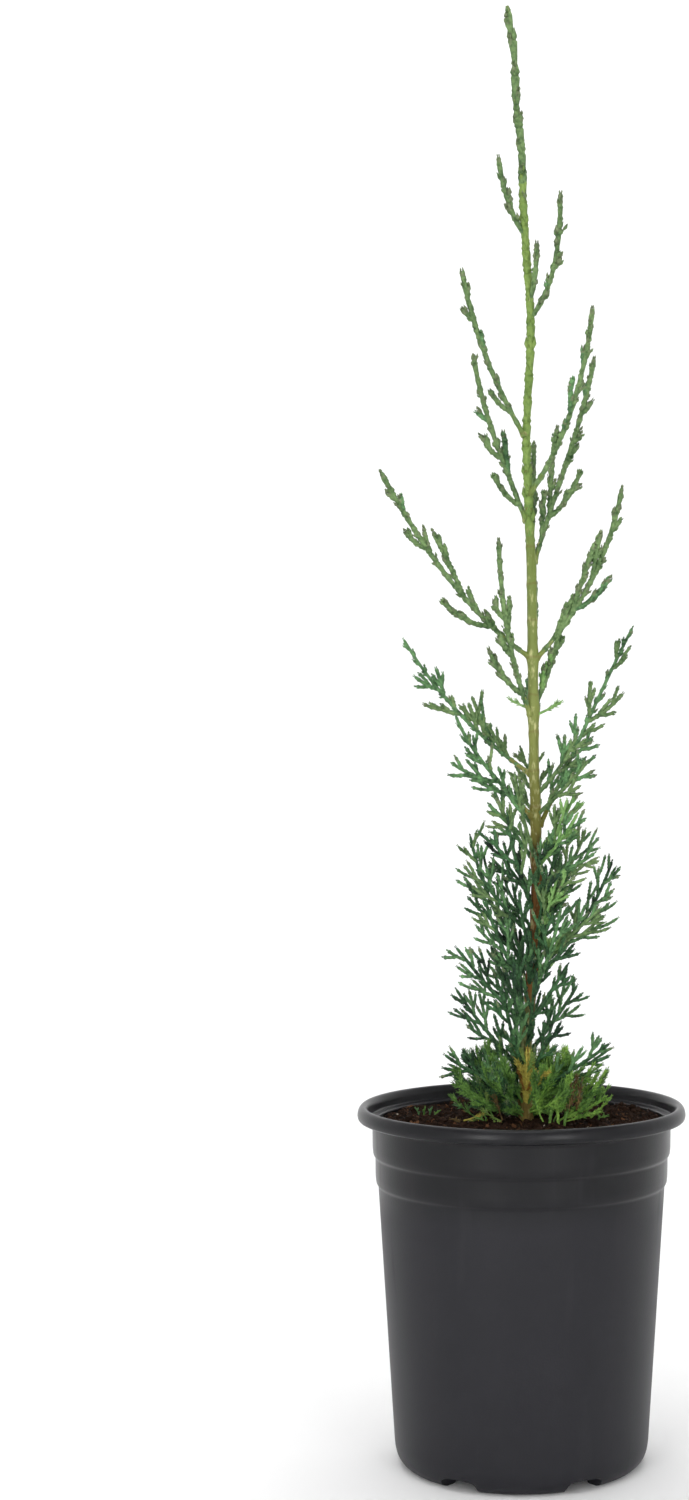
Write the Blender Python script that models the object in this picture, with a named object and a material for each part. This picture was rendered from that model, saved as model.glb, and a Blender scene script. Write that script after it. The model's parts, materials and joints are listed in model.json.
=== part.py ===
"""A young Italian cypress in a round nursery pot.

The pot stands on its six feet at the origin, +Z up, and the front is -Y. Everything is in
metres. The slender trunk leans and sways as it rises from the soil. Long open plumes leave
its upper half, broad fans crowd its lower half, and small soft tufts ring its foot. Every
branch is one curved stem whose shoots follow one seeded rule. Each bough is the bare lower
stretch of such a stem, and each foliage node is the leafy rest of it, fused into one solid.
"""

import math
import random
from collections import namedtuple

import bmesh
import bpy
import numpy as np
from mathutils import Matrix, Quaternion, Vector

MM = 0.001
UP = Vector((0.0, 0.0, 1.0))

# ---- Driving dimensions -------------------------------------------------------------------

GAP = 0.3 * MM  # between neighbouring solids

# The pot: a thin moulded shell with a rolled rim, two stepped bands and six feet.
POT_HEIGHT = 123.8 * MM
RIM_RADIUS = 57.15 * MM
RIM_CREST_RADIUS = 55.2 * MM
RIM_EQUATOR_DROP = 3.3 * MM  # from the crest down to the widest part of the roll
RIM_DEPTH = 5.1 * MM  # from the crest down to the roll's lower edge
RIM_SHELF_DROP = 4.2 * MM  # from the crest down to the ledge inside the rim
BAND_RADII = (52.0 * MM, 50.9 * MM, 49.8 * MM)  # upper band, lower band, top of the body
BAND_STEPS = ((108.4 * MM, 106.3 * MM), (98.6 * MM, 95.1 * MM))  # each step's top and bottom
BASE_RADIUS = 43.9 * MM
CORNER_HEIGHT = 4.4 * MM
FOOT_OUTER_RADIUS = 38.9 * MM
FOOT_INNER_RADIUS = 35.0 * MM
FLOOR_BOTTOM = 4.7 * MM
FLOOR_TOP = 6.2 * MM
WALL = 1.3 * MM
FEET = 6
FOOT_HALF_ANGLE = math.radians(20.5)
NOTCH_HEIGHT = 4.3 * MM
DRAIN_RADIUS = 3.6 * MM
DRAIN_CIRCLE = 24.0 * MM

# The soil, a little below the rim.
SOIL_LEVEL = 117.6 * MM
SOIL_LUMP = 0.9 * MM

# The trunk, from the soil to the tip: its height, where its middle lies, and its radius.
TRUNK_BENDS = (
    (117.9, 1.6, 0.0, 1.85),
    (140.0, 1.4, 0.4, 1.85),
    (165.0, 3.4, 0.6, 1.8),
    (195.0, 5.1, 0.3, 1.75),
    (250.0, 4.3, -0.5, 1.65),
    (310.0, 3.4, -0.4, 1.3),
    (356.0, 1.7, 0.3, 1.2),
    (396.0, 3.1, 0.6, 1.1),
    (432.0, 0.8, 0.2, 0.95),
    (458.0, -0.1, -0.3, 0.85),
    (473.0, -1.9, -0.5, 0.85),
    (490.0, -2.6, -0.5, 0.8),
    (508.2, -5.1, -0.2, 0.65),
)
TRUNK_FOOT = TRUNK_BENDS[0][0] * MM
TRUNK_TOP = TRUNK_BENDS[-1][0] * MM
ROOT_FLARE = 0.9 * MM
ROOT_FLARE_HEIGHT = 4.0 * MM
TRUNK_SIDES = 6
TRUNK_RING_STEP = 10.0 * MM
LEADER_SCALES = 10  # the pointed scale leaves that stand off the upper trunk
LEADER_SCALE_LENGTH = 2.4 * MM

# ---- The branches -------------------------------------------------------------------------

# How each kind of branch is clothed. Lengths are in millimetres and angles in degrees: the
# stem's radius at its root and tip; the distance between its limbs (none but the named ones
# where it is 0) and the longest of them; the angle that limbs open at; how fully a limb bends
# back along its stem; the share of that opening and that bend on the inner side; how far
# limbs roll out of the spray's plane; and for the forks that stem and limbs bear, the
# distance between them, their least length and the share of the limb's length added to it.
Habit = namedtuple(
    "Habit",
    "thick thin pitch longest spread bend inner roll fork_pitch fork fork_share",
)
HABITS = {
    "spur": Habit(0.85, 0.6, 0, 0, 30, 0.5, 1.0, 60, 7.0, 2.6, 0.0),
    "plume": Habit(0.95, 0.6, 0, 0, 42, 0.85, 0.45, 40, 8.0, 2.6, 0.05),
    "fan": Habit(0.95, 0.65, 4.2, 15.0, 42, 0.45, 0.85, 30, 4.7, 2.0, 0.26),
    "tuft": Habit(0.8, 0.6, 3.2, 11.0, 36, 0.6, 0.9, 55, 4.8, 1.4, 0.2),
}

# Each branch: its name, habit, height on the trunk, azimuth (0 is +X, 90 is +Y), reach away
# from the trunk, rise from its root to its tip, the angles from upright at which it leaves
# the trunk and ends, how far the bare bough runs, how the spray's plane is turned, and its
# named limbs, each as its distance from the trunk and its length, negative on the outer side.
Branch = namedtuple("Branch", "name habit height azimuth reach rise leave end bare turn limbs")
BRANCHES = (
    Branch("tip_left", "spur", 427, 214, 11.1, 26.6, 42, 8, 0, -10, ((9, -3.6), (11, 2.6))),
    Branch("tip_right", "spur", 398, 334, 11.7, 43.1, 44, 0, 0, 10, ((12, 3), (19, -3), (31, -3))),
    Branch("tip_front", "spur", 404, 300, 5.0, 20, 36, 3, 0, 0, ()),
    Branch("left_1", "plume", 356, 214, 26.8, 56.2, 38, 12, 6, -26,
           ((11, -11.5), (21, 4), (35, 6), (45, -6.5), (53, 5))),
    Branch("left_2", "plume", 324, 146, 24.1, 63.6, 24, 10, 3, 26,
           ((10, -16), (22, 17), (28.5, -12), (43, -7.5))),
    Branch("left_3", "plume", 279, 200, 55.4, 63.5, 58, 30, 12, -16,
           ((17, 8), (19, -22), (26, 9), (33, 26), (52, 9), (54, -11.5), (69, 6), (74, -5))),
    Branch("left_4", "plume", 257, 226, 17.4, 63, 32, 2, 4.5, -36,
           ((11, -22), (25, -10.5), (27, 6), (34, 12), (38, -9))),
    Branch("left_5", "fan", 238, 158, 50.7, 49.5, 58, 32, 7, 16,
           ((12, 8), (15, 12), (19, 14), (23, 17), (27, 11), (31, 8), (36, -13), (39, 5),
            (45, 11), (48, -11), (56, 3))),
    Branch("left_6", "fan", 223, 212, 32.6, 36.9, 48, 24, 5, -24,
           ((10, 5), (13, -19), (17, 8), (20, -20), (25, 6), (29, -8), (34, 6), (38, 4))),
    Branch("left_7", "fan", 214, 216, 20.0, 14, 62, 56, 0, -20, ()),
    Branch("left_8", "fan", 168, 160, 23.3, 49.8, 36, 12, 0, 14, ()),
    Branch("left_9", "fan", 182, 206, 22.4, 24.1, 52, 34, 0, -20, ()),
    Branch("left_10", "fan", 152, 196, 26.3, 27.5, 56, 40, 0, -10, ()),
    Branch("left_11", "fan", 134, 158, 26.7, 29.4, 46, 34, 0, 14, ()),
    Branch("left_12", "fan", 125, 200, 30.2, 17.7, 58, 52, 0, -14, ()),
    Branch("left_13", "fan", 190, 228, 15.0, 36, 36, 10, 0, -30, ()),
    Branch("left_14", "fan", 162, 214, 19.0, 34, 42, 18, 0, -20, ()),
    Branch("left_15", "fan", 208, 152, 17.0, 26, 44, 20, 0, 24, ()),
    Branch("left_bud", "tuft", 261, 190, 9.6, 5, 60, 50, 0, 0, ()),
    Branch("right_1", "plume", 336, 325, 26.9, 63.4, 44, 6, 6, 28,
           ((17, 10.5), (27, 4), (33, 12), (50, 6.6), (53, -4))),
    Branch("right_2", "plume", 309, 36, 27.8, 78.2, 18, 12, 5, -28,
           ((13.5, 17), (21, -22), (23, 20.5), (45, -6.5), (50, -6), (62, -6), (68, 5.5))),
    Branch("right_3", "plume", 278, 340, 32.7, 60.3, 47, 9, 7, 16,
           ((12, 13), (15, 12.5), (21, 27.5), (24, -18), (36, 17), (54, -5.6), (57, 4.7))),
    Branch("right_4", "plume", 261, 48, 14.5, 30, 30, 16, 0, -30, ((9, 9), (18, 7), (25, -6))),
    Branch("right_5", "fan", 218, 20, 36.9, 73.4, 27, 29, 7, -16,
           ((14, 8), (18, -9), (21, -13), (26, 12), (30, -11), (34, 12), (38, -7.5), (44, -17.5),
            (46, 12.6), (65, -7.6), (69, 6.6))),
    Branch("right_6", "fan", 224, 326, 22.0, 20, 50, 40, 0, 20, ()),
    Branch("right_7", "fan", 206, 308, 23.0, 20, 52, 38, 0, 40, ()),
    Branch("right_8", "fan", 166, 24, 31.6, 42.6, 52, 20, 0, -16, ()),
    Branch("right_9", "fan", 174, 336, 25.9, 19.2, 62, 48, 0, 16, ()),
    Branch("right_10", "fan", 190, 32, 21.0, 30, 40, 16, 0, -20, ()),
    Branch("right_11", "fan", 140, 30, 21.5, 24.7, 44, 34, 0, -20, ()),
    Branch("right_12", "fan", 126, 342, 30.9, 20.5, 58, 50, 0, 12, ()),
    Branch("right_13", "fan", 152, 326, 17.0, 22, 44, 34, 0, 24, ()),
    Branch("right_14", "fan", 200, 346, 21.4, 12.1, 58, 50, 0, 8, ()),
    Branch("right_15", "fan", 231, 346, 15.0, 22, 44, 18, 0, 14, ()),
    Branch("right_bud", "tuft", 259, 342, 11.0, 6, 62, 48, 0, 0, ()),
    Branch("front_1", "fan", 208, 262, 17.0, 32, 36, 16, 0, 80, ()),
    Branch("front_2", "fan", 160, 304, 19.0, 34, 40, 18, 0, 54, ()),
    Branch("front_3", "fan", 134, 248, 20.0, 30, 42, 24, 0, -64, ()),
    Branch("back_1", "fan", 214, 96, 21.0, 32, 42, 22, 0, 70, ()),
    Branch("back_2", "fan", 176, 62, 22.0, 32, 44, 26, 0, -60, ()),
    Branch("back_3", "fan", 146, 112, 23.0, 28, 48, 32, 0, 66, ()),
    Branch("foot_1", "tuft", 122, 196, 27.0, 14, 56, 54, 0, -20, ()),
    Branch("foot_2", "tuft", 122, 240, 18.0, 20, 42, 36, 0, -50, ()),
    Branch("foot_3", "tuft", 122, 290, 19.0, 19, 44, 38, 0, 60, ()),
    Branch("foot_4", "tuft", 122, 338, 29.0, 18, 52, 46, 0, 20, ()),
    Branch("foot_5", "tuft", 122, 50, 26.0, 17, 54, 44, 0, 60, ()),
    Branch("foot_6", "tuft", 122, 130, 24.0, 17, 54, 44, 0, 60, ()),
)
STEM_SAMPLES = 28
SHOOT_THICK = 0.6 * MM  # a limb's or fork's radius at its root
SHOOT_THIN = 0.54 * MM  # and just below its blunt tip
SHORTEST_SHOOT = 1.7 * MM
LONG_SHOOT = 9.0 * MM  # from this length a shoot is bent
LONGEST_SHOOT = 16.0 * MM  # and from this one it is a smoother curve
SOIL_CLEARANCE = 1.9 * MM  # the least height of a shoot's middle over the soil


# ---- Curves and limbs ---------------------------------------------------------------------


def along(points, distance):
    """The place and direction at a distance along a run of points."""
    for start, end in zip(points, points[1:]):
        step = end - start
        if distance <= step.length or end is points[-1]:
            return start + step.normalized() * distance, step.normalized()
        distance -= step.length


def run_length(points):
    return sum((end - start).length for start, end in zip(points, points[1:]))


def stretch(points, start, end, count):
    """Evenly spaced points from one distance to another along a run."""
    return [along(points, start + (end - start) * i / count)[0] for i in range(count + 1)]


def trunk_middle(height):
    """The trunk's middle at a height, on a smooth curve through its bends."""
    stops = [bend[0] * MM for bend in TRUNK_BENDS]
    height = min(max(height, stops[0]), stops[-1])
    i = max(k for k in range(len(stops) - 1) if stops[k] <= height)
    before, after = max(i - 1, 0), min(i + 2, len(stops) - 1)
    span = stops[i + 1] - stops[i]
    t = (height - stops[i]) / span
    place = []
    for axis in (1, 2):
        here, there = TRUNK_BENDS[i][axis] * MM, TRUNK_BENDS[i + 1][axis] * MM
        slope_in = (there - TRUNK_BENDS[before][axis] * MM) / (stops[i + 1] - stops[before])
        slope_out = (TRUNK_BENDS[after][axis] * MM - here) / (stops[after] - stops[i])
        place.append(
            here * (1 + 2 * t) * (1 - t) ** 2
            + there * (3 - 2 * t) * t**2
            + slope_in * span * t * (1 - t) ** 2
            - slope_out * span * t**2 * (1 - t)
        )
    return Vector((place[0], place[1], height))


def stretch_trunk(count):
    """Evenly spaced points up the trunk's middle."""
    span = TRUNK_TOP - TRUNK_FOOT
    return [trunk_middle(TRUNK_FOOT + span * i / count) for i in range(count + 1)]


def trunk_radius(height):
    heights = [bend[0] * MM for bend in TRUNK_BENDS]
    radii = [bend[3] * MM for bend in TRUNK_BENDS]
    flare = ROOT_FLARE * math.exp(-(height - TRUNK_FOOT) / ROOT_FLARE_HEIGHT)
    return float(np.interp(height, heights, radii)) + flare


def outward(azimuth):
    return Vector((math.cos(azimuth), math.sin(azimuth), 0.0))


def stem_curve(branch):
    """A branch's middle line, from the trunk's middle to its tip."""
    out = outward(math.radians(branch.azimuth))
    root = trunk_middle(branch.height * MM)
    tip = root + out * branch.reach * MM + UP * branch.rise * MM
    chord = (tip - root).length
    leave, end = (
        (out * math.sin(math.radians(a)) + UP * math.cos(math.radians(a))) * chord
        for a in (branch.leave, branch.end)
    )
    points = []
    for i in range(STEM_SAMPLES + 1):
        t = i / STEM_SAMPLES
        points.append(
            root * (1 + 2 * t) * (1 - t) ** 2
            + tip * (3 - 2 * t) * t**2
            + leave * t * (1 - t) ** 2
            - end * t**2 * (1 - t)
        )
    return points


def new_object(name, mesh_maker, material):
    """An object in the scene from a bmesh, its faces turned outwards and shaded smooth."""
    bmesh.ops.recalc_face_normals(mesh_maker, faces=mesh_maker.faces)
    mesh = bpy.data.meshes.new(name)
    mesh_maker.to_mesh(mesh)
    mesh_maker.free()
    piece = bpy.data.objects.new(name, mesh)
    bpy.context.scene.collection.objects.link(piece)
    mesh.materials.append(material)
    mesh.shade_smooth()
    return piece


def limb(name, path, radii, sides, material, roll=0.0, face=None, blunt=False):
    """A round limb with a flat root, and a tip that is flat or blunt. face, a point and a
    direction, is a plane that the root's rim is slid onto, so that it sits square on what
    carries it."""
    made = bmesh.new()
    heading = (path[1] - path[0]).normalized()
    across = heading.orthogonal().normalized()
    rings = []
    for i, (place, radius) in enumerate(zip(path, radii)):
        ahead = path[min(i + 1, len(path) - 1)] - path[max(i - 1, 0)]
        turn = heading.rotation_difference(ahead.normalized())
        across = turn @ across
        heading = ahead.normalized()
        ring = []
        for k in range(sides):
            spin = Quaternion(heading, roll + 2 * math.pi * k / sides)
            corner = place + spin @ across * radius
            if i == 0 and face:
                corner += heading * ((face[0] - corner).dot(face[1]) / heading.dot(face[1]))
            ring.append(made.verts.new(corner))
        rings.append(ring)
    for lower, upper in zip(rings, rings[1:]):
        for k in range(sides):
            following = (k + 1) % sides
            made.faces.new((lower[k], lower[following], upper[following], upper[k]))
    made.faces.new(rings[0])
    if blunt:
        tip = made.verts.new(path[-1] + heading * radii[-1])
        for k in range(sides):
            made.faces.new((rings[-1][k], rings[-1][(k + 1) % sides], tip))
    else:
        made.faces.new(rings[-1])
    return new_object(name, made, material)


def fuse(base, others):
    """Joins others to base by one Boolean union, and removes them."""
    group = bpy.data.collections.new(base.name + "_group")
    bpy.context.scene.collection.children.link(group)
    for other in others:
        bpy.context.scene.collection.objects.unlink(other)
        group.objects.link(other)
    union = base.modifiers.new("union", "BOOLEAN")
    union.operation = "UNION"
    union.solver = "EXACT"
    union.operand_type = "COLLECTION"
    union.collection = group
    shaped = base.evaluated_get(bpy.context.evaluated_depsgraph_get())
    mesh = bpy.data.meshes.new_from_object(shaped)
    base.modifiers.remove(union)
    old = base.data
    base.data = mesh
    mesh.name = base.name
    bpy.data.meshes.remove(old)
    for other in list(group.objects):
        spare = other.data
        bpy.data.objects.remove(other)
        bpy.data.meshes.remove(spare)
    bpy.data.collections.remove(group)


# ---- Room between the pieces --------------------------------------------------------------


class Thicket:
    """The place of every limb so far, so that a new shoot is grown only where it is clear."""

    def __init__(self):
        self.starts, self.ends, self.radii, self.owners = [], [], [], []

    def add(self, path, radius, owner):
        for start, end in zip(path, path[1:]):
            self.starts.append(start)
            self.ends.append(end)
            self.radii.append(radius)
            self.owners.append(owner)

    def clear(self, path, radius, owner):
        """True if the whole path keeps the gap from every limb of another owner."""
        others = [i for i, other in enumerate(self.owners) if other != owner]
        if not others:
            return True
        starts = np.array([self.starts[i] for i in others])
        spans = np.array([self.ends[i] for i in others]) - starts
        room = np.array([self.radii[i] for i in others]) + radius + GAP
        for start, end in zip(path, path[1:]):
            if (nearest(np.array(start), np.array(end - start), starts, spans) < room).any():
                return False
        return True


def nearest(start, span, starts, spans):
    """The least distance from one straight stretch to each of many."""
    a = span @ span
    e = np.einsum("ij,ij->i", spans, spans)
    f = np.einsum("ij,ij->i", spans, start - starts)
    b = spans @ span
    c = (start - starts) @ span
    denominator = np.maximum(a * e - b * b, 1e-18)
    s = np.clip((b * f - c * e) / denominator, 0, 1)
    t = np.clip((b * s + f) / e, 0, 1)
    s = np.clip((b * t - c) / a, 0, 1)
    apart = (start + np.outer(s, span)) - (starts + spans * t[:, None])
    return np.sqrt(np.einsum("ij,ij->i", apart, apart))


# ---- Growth -------------------------------------------------------------------------------


def fullness(share):
    """How long the shoots are beside the longest, from a stem's start to its tip."""
    return (0.5 + 0.5 * min(1.0, share * 3.5)) * min(1.0, 0.24 + (1.0 - share) * 1.5)


def shoot_path(parent, distance, length, habit, flat, chance):
    """A shoot that opens away from its parent and bends back along it and upwards. A
    negative length puts it on the outer side."""
    place, ahead = along(parent, distance)
    side = math.copysign(1, length)
    length = abs(length)
    across = (flat - ahead * flat.dot(ahead)).normalized() * side
    ease = habit.inner if side > 0 else 1.0
    angle = math.radians(habit.spread * ease * chance.uniform(0.88, 1.12))
    first = ahead * math.cos(angle) + across * math.sin(angle)
    homeward = (ahead * 0.75 + UP * 0.25).normalized()
    second = first.lerp(homeward, habit.bend * ease).normalized()
    elbow = place + first * length * 0.42
    tip = elbow + second * length * 0.58
    count = 3 if length > LONGEST_SHOOT else 2
    steps = [i / count for i in range(count + 1)]
    return [place * (1 - t) ** 2 + elbow * 2 * t * (1 - t) + tip * t * t for t in steps]


def shoots_on(parent, start, pitch, longest, habit, flat, seed):
    """The shoots that a stem or limb bears by the rule, alternately on its two sides."""
    total = run_length(parent)
    chance = random.Random(seed)
    side = chance.choice((-1, 1))
    for k in range(int((total - start - SHORTEST_SHOOT) / pitch)):
        distance = start + pitch * (k + 0.5 + chance.uniform(-0.22, 0.22))
        share = (distance - start) / (total - start)
        length = longest * fullness(share) * chance.uniform(0.75, 1.12)
        _, ahead = along(parent, distance)
        plane = Quaternion(ahead, math.radians(habit.roll) * chance.uniform(-1, 1)) @ flat
        yield shoot_path(parent, distance, side * length, habit, plane, chance)
        side = -side


class Spray:
    """One branch as it grows: its stem, and the shoots that found room."""

    def __init__(self, branch):
        self.branch = branch
        self.habit = HABITS[branch.habit]
        self.stem = stem_curve(branch)
        self.total = run_length(self.stem)
        self.owner = "foliage_" + branch.name
        azimuth = math.radians(branch.azimuth)
        out = outward(azimuth)
        thick = trunk_radius(branch.height * MM)
        self.root = next(
            d * MM / 4
            for d in range(400)
            if off_trunk(along(self.stem, d * MM / 4)[0]) > thick + GAP
        )
        self.face = (trunk_middle(branch.height * MM) + out * (thick + GAP), out)
        self.leafy = self.root + (branch.bare * MM + GAP if branch.bare else 0.0)
        _, ahead = along(self.stem, self.total * 0.5)
        inner = ahead.cross(outward(azimuth + math.pi / 2))
        self.flat = Quaternion(ahead, math.radians(branch.turn)) @ inner
        self.shoots = []

    def radius(self, distance):
        share = (distance - self.root) / (self.total - self.root)
        return (self.habit.thick + (self.habit.thin - self.habit.thick) * share) * MM

    def limbs(self):
        """The stem's limbs: the named ones, or those that the rule gives."""
        chance = random.Random(self.branch.name)
        for distance, length in self.branch.limbs:
            if distance * MM > self.leafy:
                roll = math.radians(self.habit.roll) * chance.uniform(-0.5, 0.5)
                _, ahead = along(self.stem, distance * MM)
                plane = Quaternion(ahead, roll) @ self.flat
                yield shoot_path(
                    self.stem, distance * MM, length * MM, self.habit, plane, chance
                )
        if self.habit.pitch and not self.branch.limbs:
            longest = self.habit.longest * MM * min(1.0, self.total / (40 * MM))
            start = self.leafy + 0.5 * self.habit.pitch * MM
            yield from shoots_on(
                self.stem, start, self.habit.pitch * MM, longest, self.habit, self.flat,
                self.branch.name,
            )

    def forks(self):
        """The short forks along each limb, and along a stem that has only named limbs."""
        axes = [(path, 0.2 * run_length(path)) for path in self.shoots]
        if self.branch.limbs or not self.habit.pitch:
            axes.append((self.stem, self.leafy + 2.5 * MM))
        for number, (axis, start) in enumerate(axes):
            longest = self.habit.fork * MM
            if axis is not self.stem:
                longest += self.habit.fork_share * run_length(axis)
            yield from shoots_on(
                axis, start, self.habit.fork_pitch * MM, longest, self.habit, self.flat,
                f"{self.branch.name} {number}",
            )


def off_trunk(place):
    middle = trunk_middle(place.z)
    return math.hypot(place.x - middle.x, place.y - middle.y)


def in_bounds(path):
    """True if a path stays over the soil and within the rim's footprint."""
    lowest = min(p.z for p in path)
    furthest = max(math.hypot(p.x, p.y) for p in path)
    limit = BAND_RADII[0] - WALL - 2.5 * MM
    if lowest > POT_HEIGHT + SOIL_CLEARANCE:
        limit = RIM_RADIUS
    return lowest > SOIL_LEVEL + SOIL_CLEARANCE and furthest < limit


def grow_all():
    """Grows every branch. The stems take their places first, then each branch in turn sets
    its next shoot, and a shoot is left out where it would crowd another branch."""
    thicket = Thicket()
    trunk_line = stretch_trunk(60)
    for low, high in zip(trunk_line, trunk_line[1:]):
        thicket.add([low, high], trunk_radius(low.z), "trunk")
    sprays = [Spray(branch) for branch in BRANCHES]
    for spray in sprays:
        if spray.branch.bare:
            bare = stretch(spray.stem, spray.root, spray.leafy, 4)
            thicket.add(bare, spray.radius(spray.root), "bough_" + spray.branch.name)
        leafy = stretch(spray.stem, spray.leafy, spray.total, 10)
        thicket.add(leafy, spray.radius(spray.leafy), spray.owner)
    for source in (Spray.limbs, Spray.forks):
        waiting = [(spray, source(spray)) for spray in sprays]
        while waiting:
            still = []
            for spray, candidates in waiting:
                path = next(candidates, None)
                if path is None:
                    continue
                still.append((spray, candidates))
                if run_length(path) < SHORTEST_SHOOT or not in_bounds(path):
                    continue
                if thicket.clear(path, SHOOT_THICK, spray.owner):
                    thicket.add(path, SHOOT_THICK, spray.owner)
                    spray.shoots.append(path)
            waiting = still
    return sprays


# ---- Materials ----------------------------------------------------------------------------


def plain_material(name, colour, roughness):
    material = bpy.data.materials.new(name)
    material.use_nodes = True
    shader = material.node_tree.nodes["Principled BSDF"]
    shader.inputs["Base Color"].default_value = (*colour, 1.0)
    shader.inputs["Roughness"].default_value = roughness
    shader.inputs["Metallic"].default_value = 0.0
    return material


# ---- The pot and the soil -----------------------------------------------------------------


def turned_angles():
    """Angles round the pot: each foot and each notch starts on one of them."""
    period = 2 * math.pi / FEET
    front = -math.pi / 2
    angles = []
    for foot in range(FEET):
        middle = front + foot * period
        angles += [middle + FOOT_HALF_ANGLE * (k / 2 - 1) for k in range(4)]
        notch = period - 2 * FOOT_HALF_ANGLE
        angles += [middle + FOOT_HALF_ANGLE + notch * k / 2 for k in range(2)]
    return angles


def turned(name, profile, material, closed_at_axis):
    """A solid turned from a profile of (radius, height), from its first point on the axis,
    or as a ring, round to its last."""
    made = bmesh.new()
    angles = turned_angles()
    rings = []
    for radius, height in profile:
        if radius == 0:
            rings.append([made.verts.new((0, 0, height))])
            continue
        rings.append([
            made.verts.new((radius * math.cos(a), radius * math.sin(a), height)) for a in angles
        ])
    pairs = list(zip(rings, rings[1:]))
    if not closed_at_axis:
        pairs.append((rings[-1], rings[0]))
    for lower, upper in pairs:
        for k in range(len(angles)):
            following = (k + 1) % len(angles)
            corners = [lower[k % len(lower)], lower[following % len(lower)]]
            corners += [upper[following % len(upper)], upper[k % len(upper)]]
            made.faces.new(list(dict.fromkeys(corners)))
    return new_object(name, made, material)


def quarter(centre, half_width, half_height, start, end, steps):
    """Points on an ellipse from one angle to another, in degrees."""
    points = []
    for i in range(steps + 1):
        angle = math.radians(start + (end - start) * i / steps)
        points.append((
            centre[0] + half_width * math.cos(angle),
            centre[1] + half_height * math.sin(angle),
        ))
    return points


def inner_radius(height):
    """The radius inside the wall, which tapers evenly behind the bands."""
    share = (height - FLOOR_TOP) / (POT_HEIGHT - RIM_SHELF_DROP - FLOOR_TOP)
    low, high = BASE_RADIUS - WALL, BAND_RADII[0] - WALL
    return low + (high - low) * share


def make_pot(material):
    equator = (RIM_CREST_RADIUS, POT_HEIGHT - RIM_EQUATOR_DROP)
    roll = RIM_RADIUS - RIM_CREST_RADIUS
    under_rim = POT_HEIGHT - RIM_DEPTH
    shelf = POT_HEIGHT - RIM_SHELF_DROP
    inside = [(0.0, FLOOR_TOP), (inner_radius(FLOOR_TOP), FLOOR_TOP)]
    inside += [(inner_radius(shelf), shelf - 0.5 * MM), (RIM_CREST_RADIUS - roll, shelf)]
    rim = quarter(equator, roll, RIM_EQUATOR_DROP, 160, 0, 4)
    rim += [(RIM_RADIUS - 0.5 * MM, under_rim), (BAND_RADII[0], under_rim)]
    outside = []
    for (top, bottom), upper, lower in zip(BAND_STEPS, BAND_RADII, BAND_RADII[1:]):
        outside += [(upper, top), (lower, bottom)]
    corner = BASE_RADIUS - FOOT_OUTER_RADIUS
    outside += quarter((FOOT_OUTER_RADIUS, CORNER_HEIGHT), corner, CORNER_HEIGHT, 0, -90, 2)
    outside += [(FOOT_INNER_RADIUS, 0.0), (FOOT_INNER_RADIUS - 1.0 * MM, FLOOR_BOTTOM)]
    outside += [(0.0, FLOOR_BOTTOM)]
    pot = turned("pot", inside + rim + outside, material, closed_at_axis=True)
    cutters = [notch_cutter(k, material) for k in range(FEET)]
    cutters += [drain_cutter(k, material) for k in range(FEET)]
    cutters += [drain_cutter(None, material)]
    cut(pot, cutters)
    pot.data.set_sharp_from_angle(angle=math.radians(30))
    return pot


def notch_cutter(number, material):
    """A wedge that opens the gap between two feet, with a slightly arched top."""
    period = 2 * math.pi / FEET
    middle = -math.pi / 2 + (number + 0.5) * period
    half = period / 2 - FOOT_HALF_ANGLE
    inner, outer = FOOT_INNER_RADIUS - 4 * MM, BASE_RADIUS + 4 * MM
    top = ((-half, 0.8), (-half * 0.8, 1.0), (half * 0.8, 1.0), (half, 0.8))
    made = bmesh.new()
    walls = []
    for radius in (inner, outer):
        low = [(-half * 1.1, -0.5), (half * 1.1, -0.5)]
        ring = [low[0], *top, low[1]]
        walls.append([
            made.verts.new((
                radius * math.cos(middle + a), radius * math.sin(middle + a), NOTCH_HEIGHT * h
            ))
            for a, h in ring
        ])
    made.faces.new(walls[0])
    made.faces.new(list(reversed(walls[1])))
    for k in range(len(walls[0])):
        following = (k + 1) % len(walls[0])
        made.faces.new((
            walls[0][k], walls[0][following], walls[1][following], walls[1][k]
        ))
    return new_object(f"notch_{number}", made, material)


def drain_cutter(number, material):
    """A round drain hole through the floor, inside a notch, or in the middle."""
    made = bmesh.new()
    place = Vector((0.0, 0.0, (FLOOR_BOTTOM + FLOOR_TOP) / 2))
    if number is not None:
        place += outward(-math.pi / 2 + (number + 0.5) * 2 * math.pi / FEET) * DRAIN_CIRCLE
    bmesh.ops.create_cone(
        made, cap_ends=True, segments=12, radius1=DRAIN_RADIUS, radius2=DRAIN_RADIUS,
        depth=8 * (FLOOR_TOP - FLOOR_BOTTOM) / 2, matrix=Matrix.Translation(place),
    )
    return new_object(f"drain_{number}", made, material)


def cut(base, cutters):
    """Takes every cutter away from base by one Boolean difference, and removes them."""
    group = bpy.data.collections.new(base.name + "_cutters")
    bpy.context.scene.collection.children.link(group)
    for cutter in cutters:
        bpy.context.scene.collection.objects.unlink(cutter)
        group.objects.link(cutter)
    difference = base.modifiers.new("cut", "BOOLEAN")
    difference.operation = "DIFFERENCE"
    difference.solver = "EXACT"
    difference.operand_type = "COLLECTION"
    difference.collection = group
    shaped = base.evaluated_get(bpy.context.evaluated_depsgraph_get())
    mesh = bpy.data.meshes.new_from_object(shaped)
    base.modifiers.remove(difference)
    base.data = mesh
    mesh.name = base.name
    for cutter in list(group.objects):
        bpy.data.objects.remove(cutter)
    bpy.data.collections.remove(group)


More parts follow.
